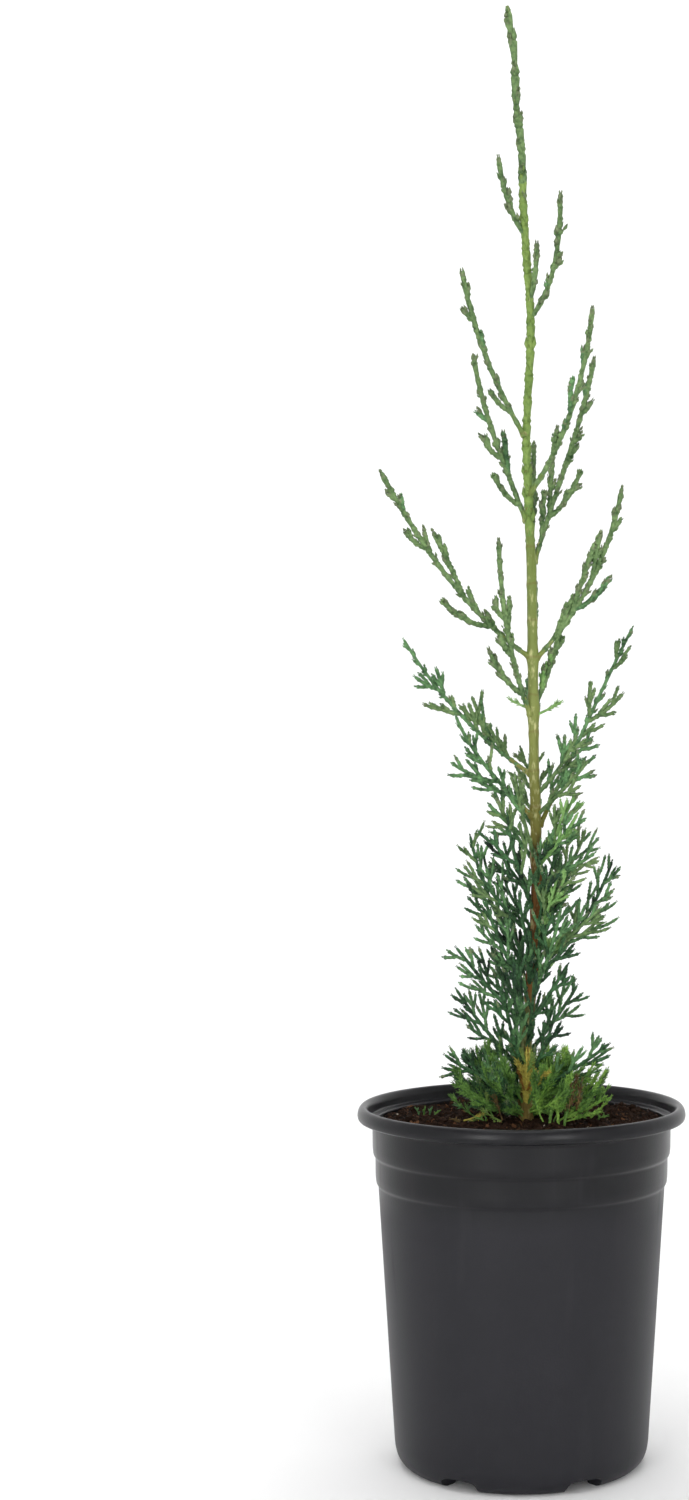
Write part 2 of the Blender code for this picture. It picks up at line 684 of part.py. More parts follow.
def soil_height(radius, angle):
    """Low seeded lumps, and level under the trunk's cut foot."""
    chance = random.Random(f"soil {radius:.4f} {angle:.3f}")
    away = math.hypot(radius * math.cos(angle) - TRUNK_BENDS[0][1] * MM, radius * math.sin(angle))
    calm = min(1.0, max(0.0, away / (8 * MM) - 0.6))
    return SOIL_LEVEL + SOIL_LUMP * calm * chance.uniform(-1, 1)


def make_soil(material):
    """The soil fills the pot to a lumpy top."""
    made = bmesh.new()
    angles = turned_angles()[::2]
    bottom = FLOOR_TOP + GAP
    edge = inner_radius(SOIL_LEVEL) - GAP
    rings = [[made.verts.new((0, 0, bottom))]]
    rings.append(soil_ring(made, inner_radius(bottom) - GAP, angles, bottom))
    for share in (1.0, 0.75, 0.5, 0.25):
        rings.append(soil_ring(made, edge * share, angles))
    rings.append([made.verts.new((0, 0, SOIL_LEVEL))])
    for lower, upper in zip(rings, rings[1:]):
        for k in range(len(angles)):
            following = (k + 1) % len(angles)
            corners = [lower[k % len(lower)], lower[following % len(lower)]]
            corners += [upper[following % len(upper)], upper[k % len(upper)]]
            made.faces.new(list(dict.fromkeys(corners)))
    return new_object("soil", made, material)


def soil_ring(made, radius, angles, height=None):
    return [
        made.verts.new((
            radius * math.cos(a), radius * math.sin(a),
            soil_height(radius, a) if height is None else height,
        ))
        for a in angles
    ]


# ---- The plant ----------------------------------------------------------------------------


def make_trunk(material):
    """The whole trunk, with the pointed scale leaves that stand off its leader."""
    count = int((TRUNK_TOP - TRUNK_FOOT) / TRUNK_RING_STEP)
    heights = [TRUNK_FOOT, TRUNK_FOOT + 2 * MM, TRUNK_FOOT + 5 * MM]
    heights += [TRUNK_FOOT + (TRUNK_TOP - TRUNK_FOOT) * k / count for k in range(2, count + 1)]
    heights[-1] -= trunk_radius(TRUNK_TOP)
    path = [trunk_middle(h) for h in heights]
    radii = [trunk_radius(h) for h in heights]
    radii[-1] *= 0.8
    face = (path[0], UP)
    trunk = limb("trunk", path, radii, TRUNK_SIDES, material, face=face, blunt=True)
    low = 330 * MM
    scales = []
    for k in range(LEADER_SCALES):
        height = low + (TRUNK_TOP - 8 * MM - low) * k / (LEADER_SCALES - 1)
        out = outward(math.radians(137.5 * k))
        lean = (out * 0.55 + UP).normalized()
        root = trunk_middle(height) + out * trunk_radius(height) * 0.35
        tip = root + lean * LEADER_SCALE_LENGTH
        path = [root, root + (tip - root) * 0.55]
        scales.append(limb(f"scale_{k}", path, [0.55 * MM, 0.5 * MM], 3, material, roll=k))
    fuse(trunk, scales)
    return trunk


def make_bough(spray, material):
    """The bare lower stretch of a branch, from the trunk to its foliage. Its second ring
    stands clear of the root's slanting cut."""
    start, end = spray.root, spray.leafy - GAP
    place, ahead = along(spray.stem, start)
    lean = ahead.dot(spray.face[1])
    slant = spray.radius(start) * math.sqrt(1 - lean * lean) / lean
    clear = start + 1.1 * slant + 0.1 * MM
    path = [place, *stretch(spray.stem, clear, end, 2)]
    radii = [spray.radius(start)]
    radii += [spray.radius(clear + (end - clear) * i / 2) for i in range(3)]
    name = "bough_" + spray.branch.name
    return limb(name, path, radii, 5, material, face=spray.face)


def make_foliage(spray, material):
    """The leafy stretch of a branch: its stem and all its shoots, fused."""
    count = max(3, int((spray.total - spray.leafy) / (13 * MM)))
    path = stretch(spray.stem, spray.leafy, spray.total - 0.6 * MM, count)
    step = (spray.total - spray.leafy) / count
    radii = [spray.radius(spray.leafy + step * i) for i in range(count + 1)]
    face = None if spray.branch.bare else spray.face
    stem = limb(spray.owner, path, radii, 4, material, roll=0.4, face=face, blunt=True)
    twigs = []
    for number, path in enumerate(spray.shoots):
        if run_length(path) < LONG_SHOOT:
            path = [path[0], path[-1]]
        radii = np.linspace(SHOOT_THICK, SHOOT_THIN, len(path))
        roll = random.Random(f"{spray.owner} {number}").uniform(0, 2)
        twigs.append(limb(f"shoot_{number}", path, radii, 3, material, roll=roll))
    fuse(stem, twigs)
    return stem


def main():
    for old in list(bpy.data.objects):
        bpy.data.objects.remove(old)
    plastic = plain_material("black_plastic", (0.018, 0.018, 0.02), 0.5)
    peat = plain_material("peat", (0.035, 0.022, 0.015), 0.95)
    bark = plain_material("bark", (0.26, 0.24, 0.06), 0.75)
    leaf = plain_material("leaf", (0.06, 0.16, 0.07), 0.6)
    make_pot(plastic)
    make_soil(peat)
    make_trunk(bark)
    for spray in grow_all():
        if spray.branch.bare:
            make_bough(spray, bark)
        make_foliage(spray, leaf)


main()
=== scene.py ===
"""A young Italian cypress in a round nursery pot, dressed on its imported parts.

The pot stands at the origin, +Z up, and the front is -Y. Everything is in metres.
"""

import json
import math
import random
from collections import namedtuple

import bmesh
import bpy
import numpy as np
from mathutils import Matrix, Quaternion, Vector, noise

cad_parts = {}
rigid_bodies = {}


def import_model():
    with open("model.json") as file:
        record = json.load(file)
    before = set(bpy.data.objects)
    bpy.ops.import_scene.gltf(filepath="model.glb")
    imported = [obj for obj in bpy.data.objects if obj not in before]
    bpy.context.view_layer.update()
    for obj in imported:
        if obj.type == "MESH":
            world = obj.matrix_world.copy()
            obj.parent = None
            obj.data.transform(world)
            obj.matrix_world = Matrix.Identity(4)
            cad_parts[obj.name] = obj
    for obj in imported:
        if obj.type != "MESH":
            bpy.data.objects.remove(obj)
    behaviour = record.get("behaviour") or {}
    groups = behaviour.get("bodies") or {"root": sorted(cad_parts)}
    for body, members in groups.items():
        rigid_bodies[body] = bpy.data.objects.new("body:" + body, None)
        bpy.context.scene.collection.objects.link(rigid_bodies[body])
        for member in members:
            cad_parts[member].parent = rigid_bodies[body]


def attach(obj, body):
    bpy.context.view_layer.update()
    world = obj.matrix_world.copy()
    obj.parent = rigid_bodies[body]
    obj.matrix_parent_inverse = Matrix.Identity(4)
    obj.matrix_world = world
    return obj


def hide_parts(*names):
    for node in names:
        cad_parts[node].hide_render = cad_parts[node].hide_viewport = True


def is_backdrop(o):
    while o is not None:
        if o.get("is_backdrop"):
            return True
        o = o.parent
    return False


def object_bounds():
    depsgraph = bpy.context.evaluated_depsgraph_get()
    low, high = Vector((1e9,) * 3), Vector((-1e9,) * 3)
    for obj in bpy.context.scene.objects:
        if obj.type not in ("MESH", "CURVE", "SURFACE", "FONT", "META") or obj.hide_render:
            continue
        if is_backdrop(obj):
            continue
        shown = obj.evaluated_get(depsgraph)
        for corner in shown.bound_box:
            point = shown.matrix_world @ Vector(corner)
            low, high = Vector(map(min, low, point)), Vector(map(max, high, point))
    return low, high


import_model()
packed_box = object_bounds()
MM = 0.001

# ---- The studio ---------------------------------------------------------------------------
# A pale round floor curves up into a pale wall all round. A broad soft lamp hangs over it, two
# stand behind the viewer, two light the wall, and the camera looks level at the plant.


def put(name, data):
    """A new object in the scene."""
    made = bpy.data.objects.new(name, data)
    bpy.context.scene.collection.objects.link(made)
    return made


camera = put("camera", bpy.data.cameras.new("camera"))
camera.location = (0.0, -0.809, 0.2474)
camera.rotation_euler = (math.radians(90), 0.0, 0.0)
camera.data.lens = 55.61
camera.data.sensor_width = 36.0
camera.data.shift_x = -0.118
bpy.context.scene.camera = camera


class Wire:
    """The socket of a node, so that sums of what flows through it are plain Python."""

    def __init__(self, tree, socket=None):
        self.tree, self.socket = tree, socket

    def node(self, kind, settings, sockets, out=0):
        """Adds a node: its settings first, then the values or wires of its sockets."""
        made = self.tree.nodes.new(kind)
        for name, value in settings.items():
            if name == "stops":
                stops = made.color_ramp.elements
                for place, _ in value[2:]:
                    stops.new(place)
                for stop, (place, colour) in zip(stops, value):
                    stop.position, stop.color = place, (*colour, 1.0)
            else:
                setattr(made, name, value)
        for name, value in sockets.items():
            self.feed(made.inputs[name], value)
        return Wire(self.tree, made.outputs[out])

    def other(self, name):
        """Another output of the node that this wire comes from."""
        return Wire(self.tree, self.socket.node.outputs[name])

    def feed(self, target, value):
        if isinstance(value, Wire):
            self.tree.links.new(value.socket, target)
        else:
            target.default_value = value

    def sum(self, operation, first, second, held=False):
        settings = {"operation": operation, "use_clamp": held}
        return self.node("ShaderNodeMath", settings, {0: first, 1: second})

    def blend(self, share, first, second):
        """One colour going over into another, each a wire, or its red, green and blue."""
        first, second = (c if isinstance(c, Wire) else (*c, 1) for c in (first, second))
        sockets = {0: share, 6: first, 7: second}
        return self.node("ShaderNodeMix", {"data_type": "RGBA"}, sockets, out=2)

    def __add__(self, other):
        return self.sum("ADD", self, other)

    def __sub__(self, other):
        return self.sum("SUBTRACT", self, other)

    def __rsub__(self, other):
        return self.sum("SUBTRACT", other, self)

    def __mul__(self, other):
        return self.sum("MULTIPLY", self, other)

    __radd__ = __add__
    __rmul__ = __mul__


def start_material(name, roughness, **constants):
    """A material, and a wire that carries its own place on the piece."""
    material = bpy.data.materials.new(name)
    material.use_nodes = True
    shader = material.node_tree.nodes["Principled BSDF"]
    shader.inputs["Roughness"].default_value = roughness
    for socket, value in constants.items():
        shader.inputs[socket.replace("_", " ")].default_value = value
    place = Wire(material.node_tree).node("ShaderNodeTexCoord", {}, {}, out=3)
    return material, shader, place


def grain(place, scale, detail=3.0, stretch=None):
    """A soft uneven field from 0 to 1, its lumps 1 / scale metres across."""
    if stretch:
        place = place.node("ShaderNodeMapping", {}, {"Vector": place, "Scale": stretch})
    sockets = {"Vector": place, "Scale": scale, "Detail": detail}
    return place.node("ShaderNodeTexNoise", {}, sockets)


def bumped(height, distance, strength):
    sockets = {"Height": height, "Distance": distance, "Strength": strength}
    return height.node("ShaderNodeBump", {}, sockets)


def above(field, level, gain):
    """How far a field stands above a level, times a gain and held from 0 to 1."""
    return field.sum("MULTIPLY", field - level, gain, held=True)


def coat(shader, **fields):
    """Leads each field to the shader's socket of that name."""
    for name, field in fields.items():
        field.feed(shader.inputs[name.replace("_", " ")], field)


def piece_from(name, mesh_maker, material, smooth=True):
    """An object in the scene from a bmesh, its faces turned outwards."""
    bmesh.ops.recalc_face_normals(mesh_maker, faces=mesh_maker.faces)
    mesh = bpy.data.meshes.new(name)
    mesh_maker.to_mesh(mesh)
    mesh_maker.free()
    piece = put(name, mesh)
    mesh.materials.append(material)
    if smooth:
        mesh.shade_smooth()
    return piece


def ring_at(made, radius, height, segments):
    """A ring of corners round the axis in mm, or one corner where the radius is 0. The height
    is a number, or a rule of x and y."""
    ring = []
    for k in range(segments if radius else 1):
        a = 2 * math.pi * k / segments
        x, y = radius * math.cos(a), radius * math.sin(a)
        z = height(x, y) if callable(height) else height
        ring.append(made.verts.new((x * MM, y * MM, z * MM)))
    return ring


def skin(made, rings):
    """The faces between rings of corners, any of which may be one corner."""
    segments = max(len(ring) for ring in rings)
    for low, high in zip(rings, rings[1:]):
        for k in range(segments):
            on = (k + 1) % segments
            corners = (low[k % len(low)], low[on % len(low)],
                       high[on % len(high)], high[k % len(high)])
            made.faces.new(list(dict.fromkeys(corners)))


def turned(name, run, segments, material):
    """A piece turned from a run of (radius, height) in mm that starts on the axis."""
    made = bmesh.new()
    skin(made, [ring_at(made, radius, height, segments) for radius, height in run])
    return piece_from(name, made, material)


FLAT_FLOOR, FLOOR_CURVE, WALL_TOP = 1400, 700, 2900

paper, paper_shader, place = start_material("pale_paper", 0.9)
mottle = grain(place, 9.0)
coat(paper_shader, Base_Color=place.blend(mottle, (0.91, 0.91, 0.91), (0.93, 0.93, 0.93)))
sweep = [(0, 0), (FLAT_FLOOR / 2, 0), (FLAT_FLOOR, 0)]
sweep += [(FLAT_FLOOR + FLOOR_CURVE * math.sin(a), FLOOR_CURVE - FLOOR_CURVE * math.cos(a))
          for a in (math.radians(9 * k) for k in range(1, 11))]
sweep += [(FLAT_FLOOR + FLOOR_CURVE, height) for height in (1600, WALL_TOP)]
backdrop = turned("backdrop", sweep, 96, paper)
backdrop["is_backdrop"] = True


def soft_lamp(name, place, aim, size, power):
    lamp = put(name, bpy.data.lights.new(name, "AREA"))
    lamp.data.shape = "RECTANGLE"
    lamp.data.size, lamp.data.size_y = size
    lamp.data.energy = power
    lamp.location = place
    lamp.rotation_euler = (Vector(aim) - Vector(place)).to_track_quat("-Z", "Y").to_euler()
    lamp.visible_camera = False


soft_lamp("lamp_above", (-0.2, -0.1, 2.4), (0, 0, 0.25), (2.2, 2.2), 18)
soft_lamp("lamp_left", (-0.58, -1.25, 0.36), (0, 0, 0.2), (0.4, 0.7), 4.7)
soft_lamp("lamp_right", (0.58, -1.25, 0.36), (0, 0, 0.2), (0.4, 0.7), 3.8)
soft_lamp("lamp_near_wall", (0.0, -0.95, 2.3), (0, -2.1, 0.5), (1.8, 0.5), 10)
soft_lamp("lamp_far_wall", (0.0, 0.9, 2.3), (0, 2.1, 0.5), (1.8, 0.5), 21)
bpy.context.scene.view_settings.view_transform = "Standard"
world = bpy.data.worlds.new("soft_room")
bpy.context.scene.world = world
world.use_nodes = True
world.node_tree.nodes["Background"].inputs["Color"].default_value = (1, 1, 1, 1)
world.node_tree.nodes["Background"].inputs["Strength"].default_value = 0.1

# ---- The pot ------------------------------------------------------------------------------
# A thin nursery pot of black polypropylene, moulded in one shot. Its lip rolls outwards, two
# stepped bands stiffen the wall below it, and six feet let water out between them.

POT_HEIGHT = 123.8
RIM_RADIUS = 57.15
CREST_RADIUS = 55.2
FEET = 6
FOOT_HALF_ANGLE = math.radians(20.5)
FLOOR_TOP = 6.2
WALL = 1.3
BODY_RADII = (43.9, 52.0)  # outside, at the corner and under the lip
POT_SEGMENTS = 240


def bent(bend, t):
    """A place on a three-point bend, from 0 at its start to 1 at its end."""
    start, elbow, end = bend
    return start * (1 - t) ** 2 + elbow * 2 * t * (1 - t) + end * t * t


def rounded(corners):
    """A run of (radius, height) points in mm, with an arc at each corner that has a third
    number, the size of its round."""
    run = []
    for i, corner in enumerate(corners):
        here = Vector(corner[:2])
        size = corner[2] if len(corner) > 2 else 0
        if not size:
            run.append(here)
            continue
        back, on = (Vector(corners[k][:2]) - here for k in (i - 1, i + 1))
        size = min(size, back.length * 0.48, on.length * 0.48)
        bend = (here + back.normalized() * size, here, here + on.normalized() * size)
        run += [bent(bend, k / 4) for k in range(5)]
    return run


def inner_radius(height):
    """The radius inside the wall, in mm, which tapers evenly behind the bands."""
    share = (height - FLOOR_TOP) / (POT_HEIGHT - 4.2 - FLOOR_TOP)
    return BODY_RADII[0] - WALL + (BODY_RADII[1] - BODY_RADII[0]) * share


plastic, plastic_shader, place = start_material(
    "matt_black_plastic", 0.4, IOR=1.5, Specular_IOR_Level=0.27)
fine = grain(place, 1400.0, 2.0)
cloudy = grain(place, 38.0, 4.0)
scuffs = grain(place, 160.0, 5.0, (1.0, 1.0, 0.12))
scuffs = above(scuffs, 0.6, 5.0)
height = place.node("ShaderNodeSeparateXYZ", {}, {0: place}, out=2)
# The wall below the bands is painted a lighter grey than the black bands above, lighter shading
# painted into its colour, and it is rougher there.
lower_wall_share = height.node("ShaderNodeMapRange", {}, {0: height + (cloudy - 0.5) * 0.008,
                                              1: 0.088, 2: 0.1, 3: 1.0, 4: 0.0})
tint = place.blend(cloudy, (0.0028, 0.0028, 0.004), (0.0042, 0.0042, 0.006))
lower_wall_grey = place.blend(cloudy, (0.0092, 0.009, 0.0122), (0.0128, 0.0126, 0.0164))
tint = place.blend(lower_wall_share, tint, lower_wall_grey)
coat(plastic_shader,
     Base_Color=place.blend(scuffs * 0.25, tint, (0.03, 0.03, 0.034)),
     Roughness=0.27 + cloudy * 0.06 + scuffs * 0.1 + lower_wall_share * 0.16,
     Normal=bumped(fine, 0.00006, 0.5))

shelf = POT_HEIGHT - 4.2
roll = RIM_RADIUS - CREST_RADIUS
lip = [(CREST_RADIUS + roll * math.cos(a), POT_HEIGHT - 3.3 + 3.3 * math.sin(a))
       for a in (math.radians(165 - 8.25 * k) for k in range(21))]
profile = rounded([
    (0.0, FLOOR_TOP), (inner_radius(FLOOR_TOP), FLOOR_TOP, 2.0),
    (inner_radius(shelf) - 0.1, shelf - 0.9, 0.5), (53.15, shelf - 0.4, 0.5),
    *lip,
    (56.9, POT_HEIGHT - 4.6, 0.5), (55.9, POT_HEIGHT - 5.1, 0.4), (52.6, POT_HEIGHT - 5.0, 0.5),
    (52.0, POT_HEIGHT - 6.4, 0.6), (51.9, 109.3, 0.8), (51.65, 107.2, 0.7),
    (50.95, 106.2, 0.6), (50.85, 99.6, 0.8), (50.6, 97.3, 0.7), (49.85, 96.2, 0.6),
    (49.7, 93.5, 0.8), (44.1, 6.6, 2.0), (43.3, 3.2, 1.6), (41.3, 0.7, 1.4), (38.9, 0.0, 0.4),
    (35.0, 0.0, 0.5), (34.0, 4.7, 0.5), (0.0, 4.7),
])
pot = turned("pot_shell", profile, POT_SEGMENTS, plastic)


def tool_block(name, corners, inner, outer):
    """A wedge round the pot's axis, from (angle, height) corners, to cut with."""
    made = bmesh.new()
    walls = [[made.verts.new((r * MM * math.cos(a), r * MM * math.sin(a), h * MM))
              for a, h in corners] for r in (inner, outer)]
    made.faces.new(walls[0])
    made.faces.new(walls[1][::-1])
    skin(made, walls)
    return piece_from(name, made, plastic)


def drain_punch(radius, angle):
    """A round punch for one drain hole, at a radius and an angle in the pot's floor."""
    hole = bmesh.new()
    centre = Vector((radius * math.cos(angle), radius * math.sin(angle), 5.4)) * MM
    bmesh.ops.create_cone(hole, cap_ends=True, segments=28, radius1=3.6 * MM,
                          radius2=3.6 * MM, depth=6 * MM, matrix=Matrix.Translation(centre))
    return piece_from("drain_punch", hole, plastic)


cutters = bpy.data.collections.new("pot_cutters")
bpy.context.scene.collection.children.link(cutters)
gap_half = math.pi / FEET - FOOT_HALF_ANGLE
for number in range(FEET):
    middle = -math.pi / 2 + (number + 0.5) * 2 * math.pi / FEET
    arch = [(-1.06, -1.0), (-1.0, 1.2), (-0.93, 2.9), (-0.8, 3.7), (-0.62, 4.1), (-0.2, 4.3),
            (0.2, 4.3), (0.62, 4.1), (0.8, 3.7), (0.93, 2.9), (1.0, 1.2), (1.06, -1.0)]
    corners = [(middle + gap_half * a, h) for a, h in arch]
    for tool in (tool_block(f"arch_{number}", corners, 31.0, 48.0), drain_punch(24.0, middle)):
        bpy.context.scene.collection.objects.unlink(tool)
        cutters.objects.link(tool)
cutting = pot.modifiers.new("cutting", "BOOLEAN")
cutting.operation, cutting.solver = "DIFFERENCE", "EXACT"
cutting.operand_type, cutting.collection = "COLLECTION", cutters


def settle(piece):
    """Turns a piece's modifiers into its plain mesh, and takes them off."""
    shaped = piece.evaluated_get(bpy.context.evaluated_depsgraph_get())
    mesh = bpy.data.meshes.new_from_object(shaped)
    mesh.name = piece.name
    piece.modifiers.clear()
    piece.data = mesh
    return piece


settle(pot)
for tool in list(cutters.objects):
    bpy.data.objects.remove(tool)
bpy.data.collections.remove(cutters)
pot.data.set_sharp_from_angle(angle=math.radians(40))
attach(pot, "root")
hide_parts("pot")

# ---- The soil -----------------------------------------------------------------------------
# Dark crumbly peat compost, filled loose by hand to a little below the lip. Crumbs, chips of
# bark, a few grains of perlite and scraps of old foliage lie on it.

SOIL_LEVEL = 117.6
TRUNK_FOOT_X = 1.6
SOIL_RINGS, SOIL_SEGMENTS = 96, 260
SOIL_GAP = 0.3  # between the soil and the pot

peat, peat_shader, place = start_material("peat_compost", 0.95, Specular_IOR_Level=0.08)
lumps = grain(place, 420.0, 4.0)
flecks = grain(place, 1900.0, 2.0)
dark = place.node("ShaderNodeValToRGB", {"stops": (
    (0.36, (0.0012, 0.0006, 0.0004)), (0.5, (0.006, 0.0028, 0.0017)),
    (0.64, (0.034, 0.0165, 0.0092)))}, {"Fac": lumps})
coat(peat_shader,
     Base_Color=place.blend(above(flecks, 0.63, 7.0), dark, (0.16, 0.09, 0.05)),
     Normal=bumped(lumps + flecks * 0.5, 0.0007, 0.8))


def soil_top(x, y):
    """The height of the soil in mm: lumpy, a little heaped round the trunk's foot."""
    away = math.hypot(x - TRUNK_FOOT_X, y)
    spot = Vector((x, y, 3.0))
    height = 1.5 * noise.noise(spot / 11) + 1.5 * noise.noise(spot / 4.3)
    height += 1.2 * abs(noise.noise(spot / 1.9)) + 0.4 * noise.noise(spot / 0.8)
    calm = min(1.0, max(0.15, away / 12))
    edge = max(0.0, math.hypot(x, y) - 44) * 0.12
    return SOIL_LEVEL + 0.3 + calm * height - edge + 0.9 * math.exp(-away / 7)


bed = bmesh.new()
bed_rings = [
    ring_at(bed, 0, FLOOR_TOP + SOIL_GAP, SOIL_SEGMENTS),
    ring_at(bed, inner_radius(FLOOR_TOP) - 2.3, FLOOR_TOP + SOIL_GAP, SOIL_SEGMENTS),
    ring_at(bed, inner_radius(60) - SOIL_GAP, 60.0, SOIL_SEGMENTS),
]
for ring in range(SOIL_RINGS):
    radius = (inner_radius(SOIL_LEVEL) - SOIL_GAP) * (1 - ring / SOIL_RINGS)
    bed_rings.append(ring_at(bed, radius, soil_top, SOIL_SEGMENTS))
bed_rings.append(ring_at(bed, 0, soil_top, SOIL_SEGMENTS))
skin(bed, bed_rings)
soil = piece_from("soil_bed", bed, peat)
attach(soil, "root")
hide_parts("soil")


def crumb(name, seed, flat=1.0, long=1.0, faces=1):
    """A rough lump one unit across, to be strewn."""
    made = bmesh.new()
    bmesh.ops.create_icosphere(made, subdivisions=faces, radius=0.5)
    for corner in made.verts:
        swell = 1 + 0.5 * noise.noise(corner.co * 2.7 + Vector((seed * 7.3, seed, 0)))
        corner.co = Vector((corner.co.x * long, corner.co.y, corner.co.z * flat)) * swell
    return piece_from(name, made, peat, smooth=False)


def start_tree(name, kinds):
    """A node tree with an input for each named kind: the tree, the inputs' identifiers, a
    wire in the tree, and the wire that comes from each input."""
    tree = bpy.data.node_groups.new(name, "GeometryNodeTree")
    inputs = {}
    for key, kind in kinds.items():
        inputs[key] = tree.interface.new_socket(
            name=key, in_out="INPUT", socket_type="NodeSocket" + kind).identifier
    tree.interface.new_socket(name="Done", in_out="OUTPUT", socket_type="NodeSocketGeometry")
    given = tree.nodes.new("NodeGroupInput")
    take = {socket.name: Wire(tree, socket) for socket in given.outputs if socket.name}
    return tree, inputs, Wire(tree), take


def end_tree(wire, made):
    """Leads what a tree has made out of it."""
    wire.feed(wire.tree.nodes.new("NodeGroupOutput").inputs[0], made)


def run_tree(piece, tree, inputs, given):
    """Runs a node tree on a piece with the given inputs, and keeps the plain mesh."""
    modifier = piece.modifiers.new(tree.name, "NODES")
    modifier.node_group = tree
    for key, value in given.items():
        modifier[inputs[key]] = value
    return settle(piece)


def strewing_tree():
    """Strews copies of one lump over a surface, each turned and sized by chance."""
    tree, inputs, wire, take = start_tree("strewing", {
        "Ground": "Geometry", "Lump": "Object", "Closest": "Float", "Density": "Float",
        "Smallest": "Float", "Largest": "Float", "Tilt": "Float", "Sink": "Float",
        "Seed": "Int", "Material": "Material"})
    spots = wire.node("GeometryNodeDistributePointsOnFaces", {"distribute_method": "POISSON"}, {
        "Mesh": take["Ground"], "Distance Min": take["Closest"],
        "Density Max": take["Density"], "Seed": take["Seed"]})
    size = wire.node("FunctionNodeRandomValue", {"data_type": "FLOAT"},
                     {2: take["Smallest"], 3: take["Largest"], "Seed": take["Seed"]}, out=1)
    lean = wire.node("ShaderNodeCombineXYZ", {}, {0: take["Tilt"], 1: take["Tilt"], 2: math.pi})
    back = wire.node("ShaderNodeVectorMath", {"operation": "SCALE"},
                     {0: lean, "Scale": -1.0})
    turn = wire.node("FunctionNodeRandomValue", {"data_type": "FLOAT_VECTOR"},
                     {0: back, 1: lean, "Seed": take["Seed"]})
    turn = wire.node("FunctionNodeEulerToRotation", {}, {0: turn})
    turn = wire.node("FunctionNodeRotateRotation", {"rotation_space": "LOCAL"},
                     {0: spots.other("Rotation"), 1: turn})
    lump = wire.node("GeometryNodeObjectInfo", {}, {"Object": take["Lump"]}, out=4)
    down = wire.node("ShaderNodeCombineXYZ", {}, {2: take["Sink"] * size * -1.0})
    spots = wire.node("GeometryNodeSetPosition", {}, {"Geometry": spots, "Offset": down})
    strewn = wire.node("GeometryNodeInstanceOnPoints", {},
                       {"Points": spots, "Instance": lump, "Rotation": turn, "Scale": size})
    strewn = wire.node("GeometryNodeRealizeInstances", {}, {0: strewn})
    end_tree(wire, wire.node("GeometryNodeSetMaterial", {},
                             {0: strewn, "Material": take["Material"]}))
    return tree, inputs


STREWN_RADIUS, STREWN_RINGS, STREWN_SEGMENTS = 48.6, 24, 72

ground = bmesh.new()
ground_rings = [
    ring_at(ground, STREWN_RADIUS * (1 - ring / STREWN_RINGS), soil_top, STREWN_SEGMENTS)
    for ring in range(STREWN_RINGS)]
skin(ground, ground_rings)
ground.faces.new(ground_rings[-1])
ground = piece_from("ground", ground, peat)
strewing = strewing_tree()


def plain_grain(name, colours, roughness, scale=900.0):
    """A rough natural material that goes unevenly from one colour to another."""
    material, shader, place = start_material(name, roughness, Specular_IOR_Level=0.1)
    uneven = grain(place, scale, 3.0)
    coat(shader, Base_Color=place.blend(uneven, *colours), Normal=bumped(uneven, 0.0003, 0.7))
    return material


def strew(name, lump, material, closest, density, sizes, tilt=3.1, sink=0.15, seed=1):
    """A joined piece of many lumps strewn on the soil."""
    piece = put(name, ground.data.copy())
    run_tree(piece, *strewing, {
        "Lump": lump, "Closest": closest * MM, "Density": density * 1e6,
        "Smallest": sizes[0] * MM, "Largest": sizes[1] * MM, "Tilt": tilt, "Sink": sink,
        "Seed": seed, "Material": material})
    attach(piece, "root")
    bpy.data.objects.remove(lump)
    return piece


crumbs = plain_grain(
    "peat_crumbs", ((0.0008, 0.0004, 0.0003), (0.036, 0.0175, 0.0098)), 0.95, 320.0)
chips = plain_grain("bark_chips", ((0.03, 0.012, 0.006), (0.16, 0.075, 0.035)), 0.85, 500.0)
perlite = plain_grain("perlite", ((0.30, 0.26, 0.21), (0.5, 0.46, 0.4)), 0.8)
strew("peat_fine", crumb("lump", 1), crumbs, 0.75, 0.9, (0.7, 1.5), sink=0.1, seed=3)
strew("peat_coarse", crumb("lump", 2, faces=2), crumbs, 2.0, 0.09, (1.4, 3.4), seed=5)
strew("chips_small", crumb("lump", 3, 0.4, 1.9), chips, 1.7, 0.06, (0.7, 1.8), 0.9, 0.0, 7)
strew("perlite_grains", crumb("lump", 4), perlite, 3.0, 0.009, (0.5, 1.2), 3.1, 0.1, 9)
bpy.data.objects.remove(ground)

# ---- The trunk and its boughs -------------------------------------------------------------
# One slender stem leans and sways as it rises. Its foot is woody, orange-brown and finely
# furrowed, its middle is smooth and yellow-green, and its leader is clothed in scale leaves.
# A bough leaves it from a swollen collar, and is bare until its foliage starts.

TRUNK_BENDS = (
    (117.9, 1.6, 0.0, 1.85),
    (140.0, 1.4, 0.4, 1.85),
    (165.0, 3.4, 0.6, 1.8),
    (195.0, 5.1, 0.3, 1.75),
    (250.0, 4.3, -0.5, 1.65),
    (310.0, 3.4, -0.4, 1.3),
    (356.0, 1.7, 0.3, 1.2),
    (396.0, 3.1, 0.6, 1.1),
    (432.0, 0.8, 0.2, 0.95),
    (458.0, -0.1, -0.3, 0.85),
    (473.0, -1.9, -0.5, 0.85),
    (490.0, -2.6, -0.5, 0.8),
    (508.2, -5.1, -0.2, 0.65),
)
TRUNK_FOOT = TRUNK_BENDS[0][0] * MM
TRUNK_TOP = TRUNK_BENDS[-1][0] * MM
GAP = 0.3 * MM
UP = Vector((0.0, 0.0, 1.0))

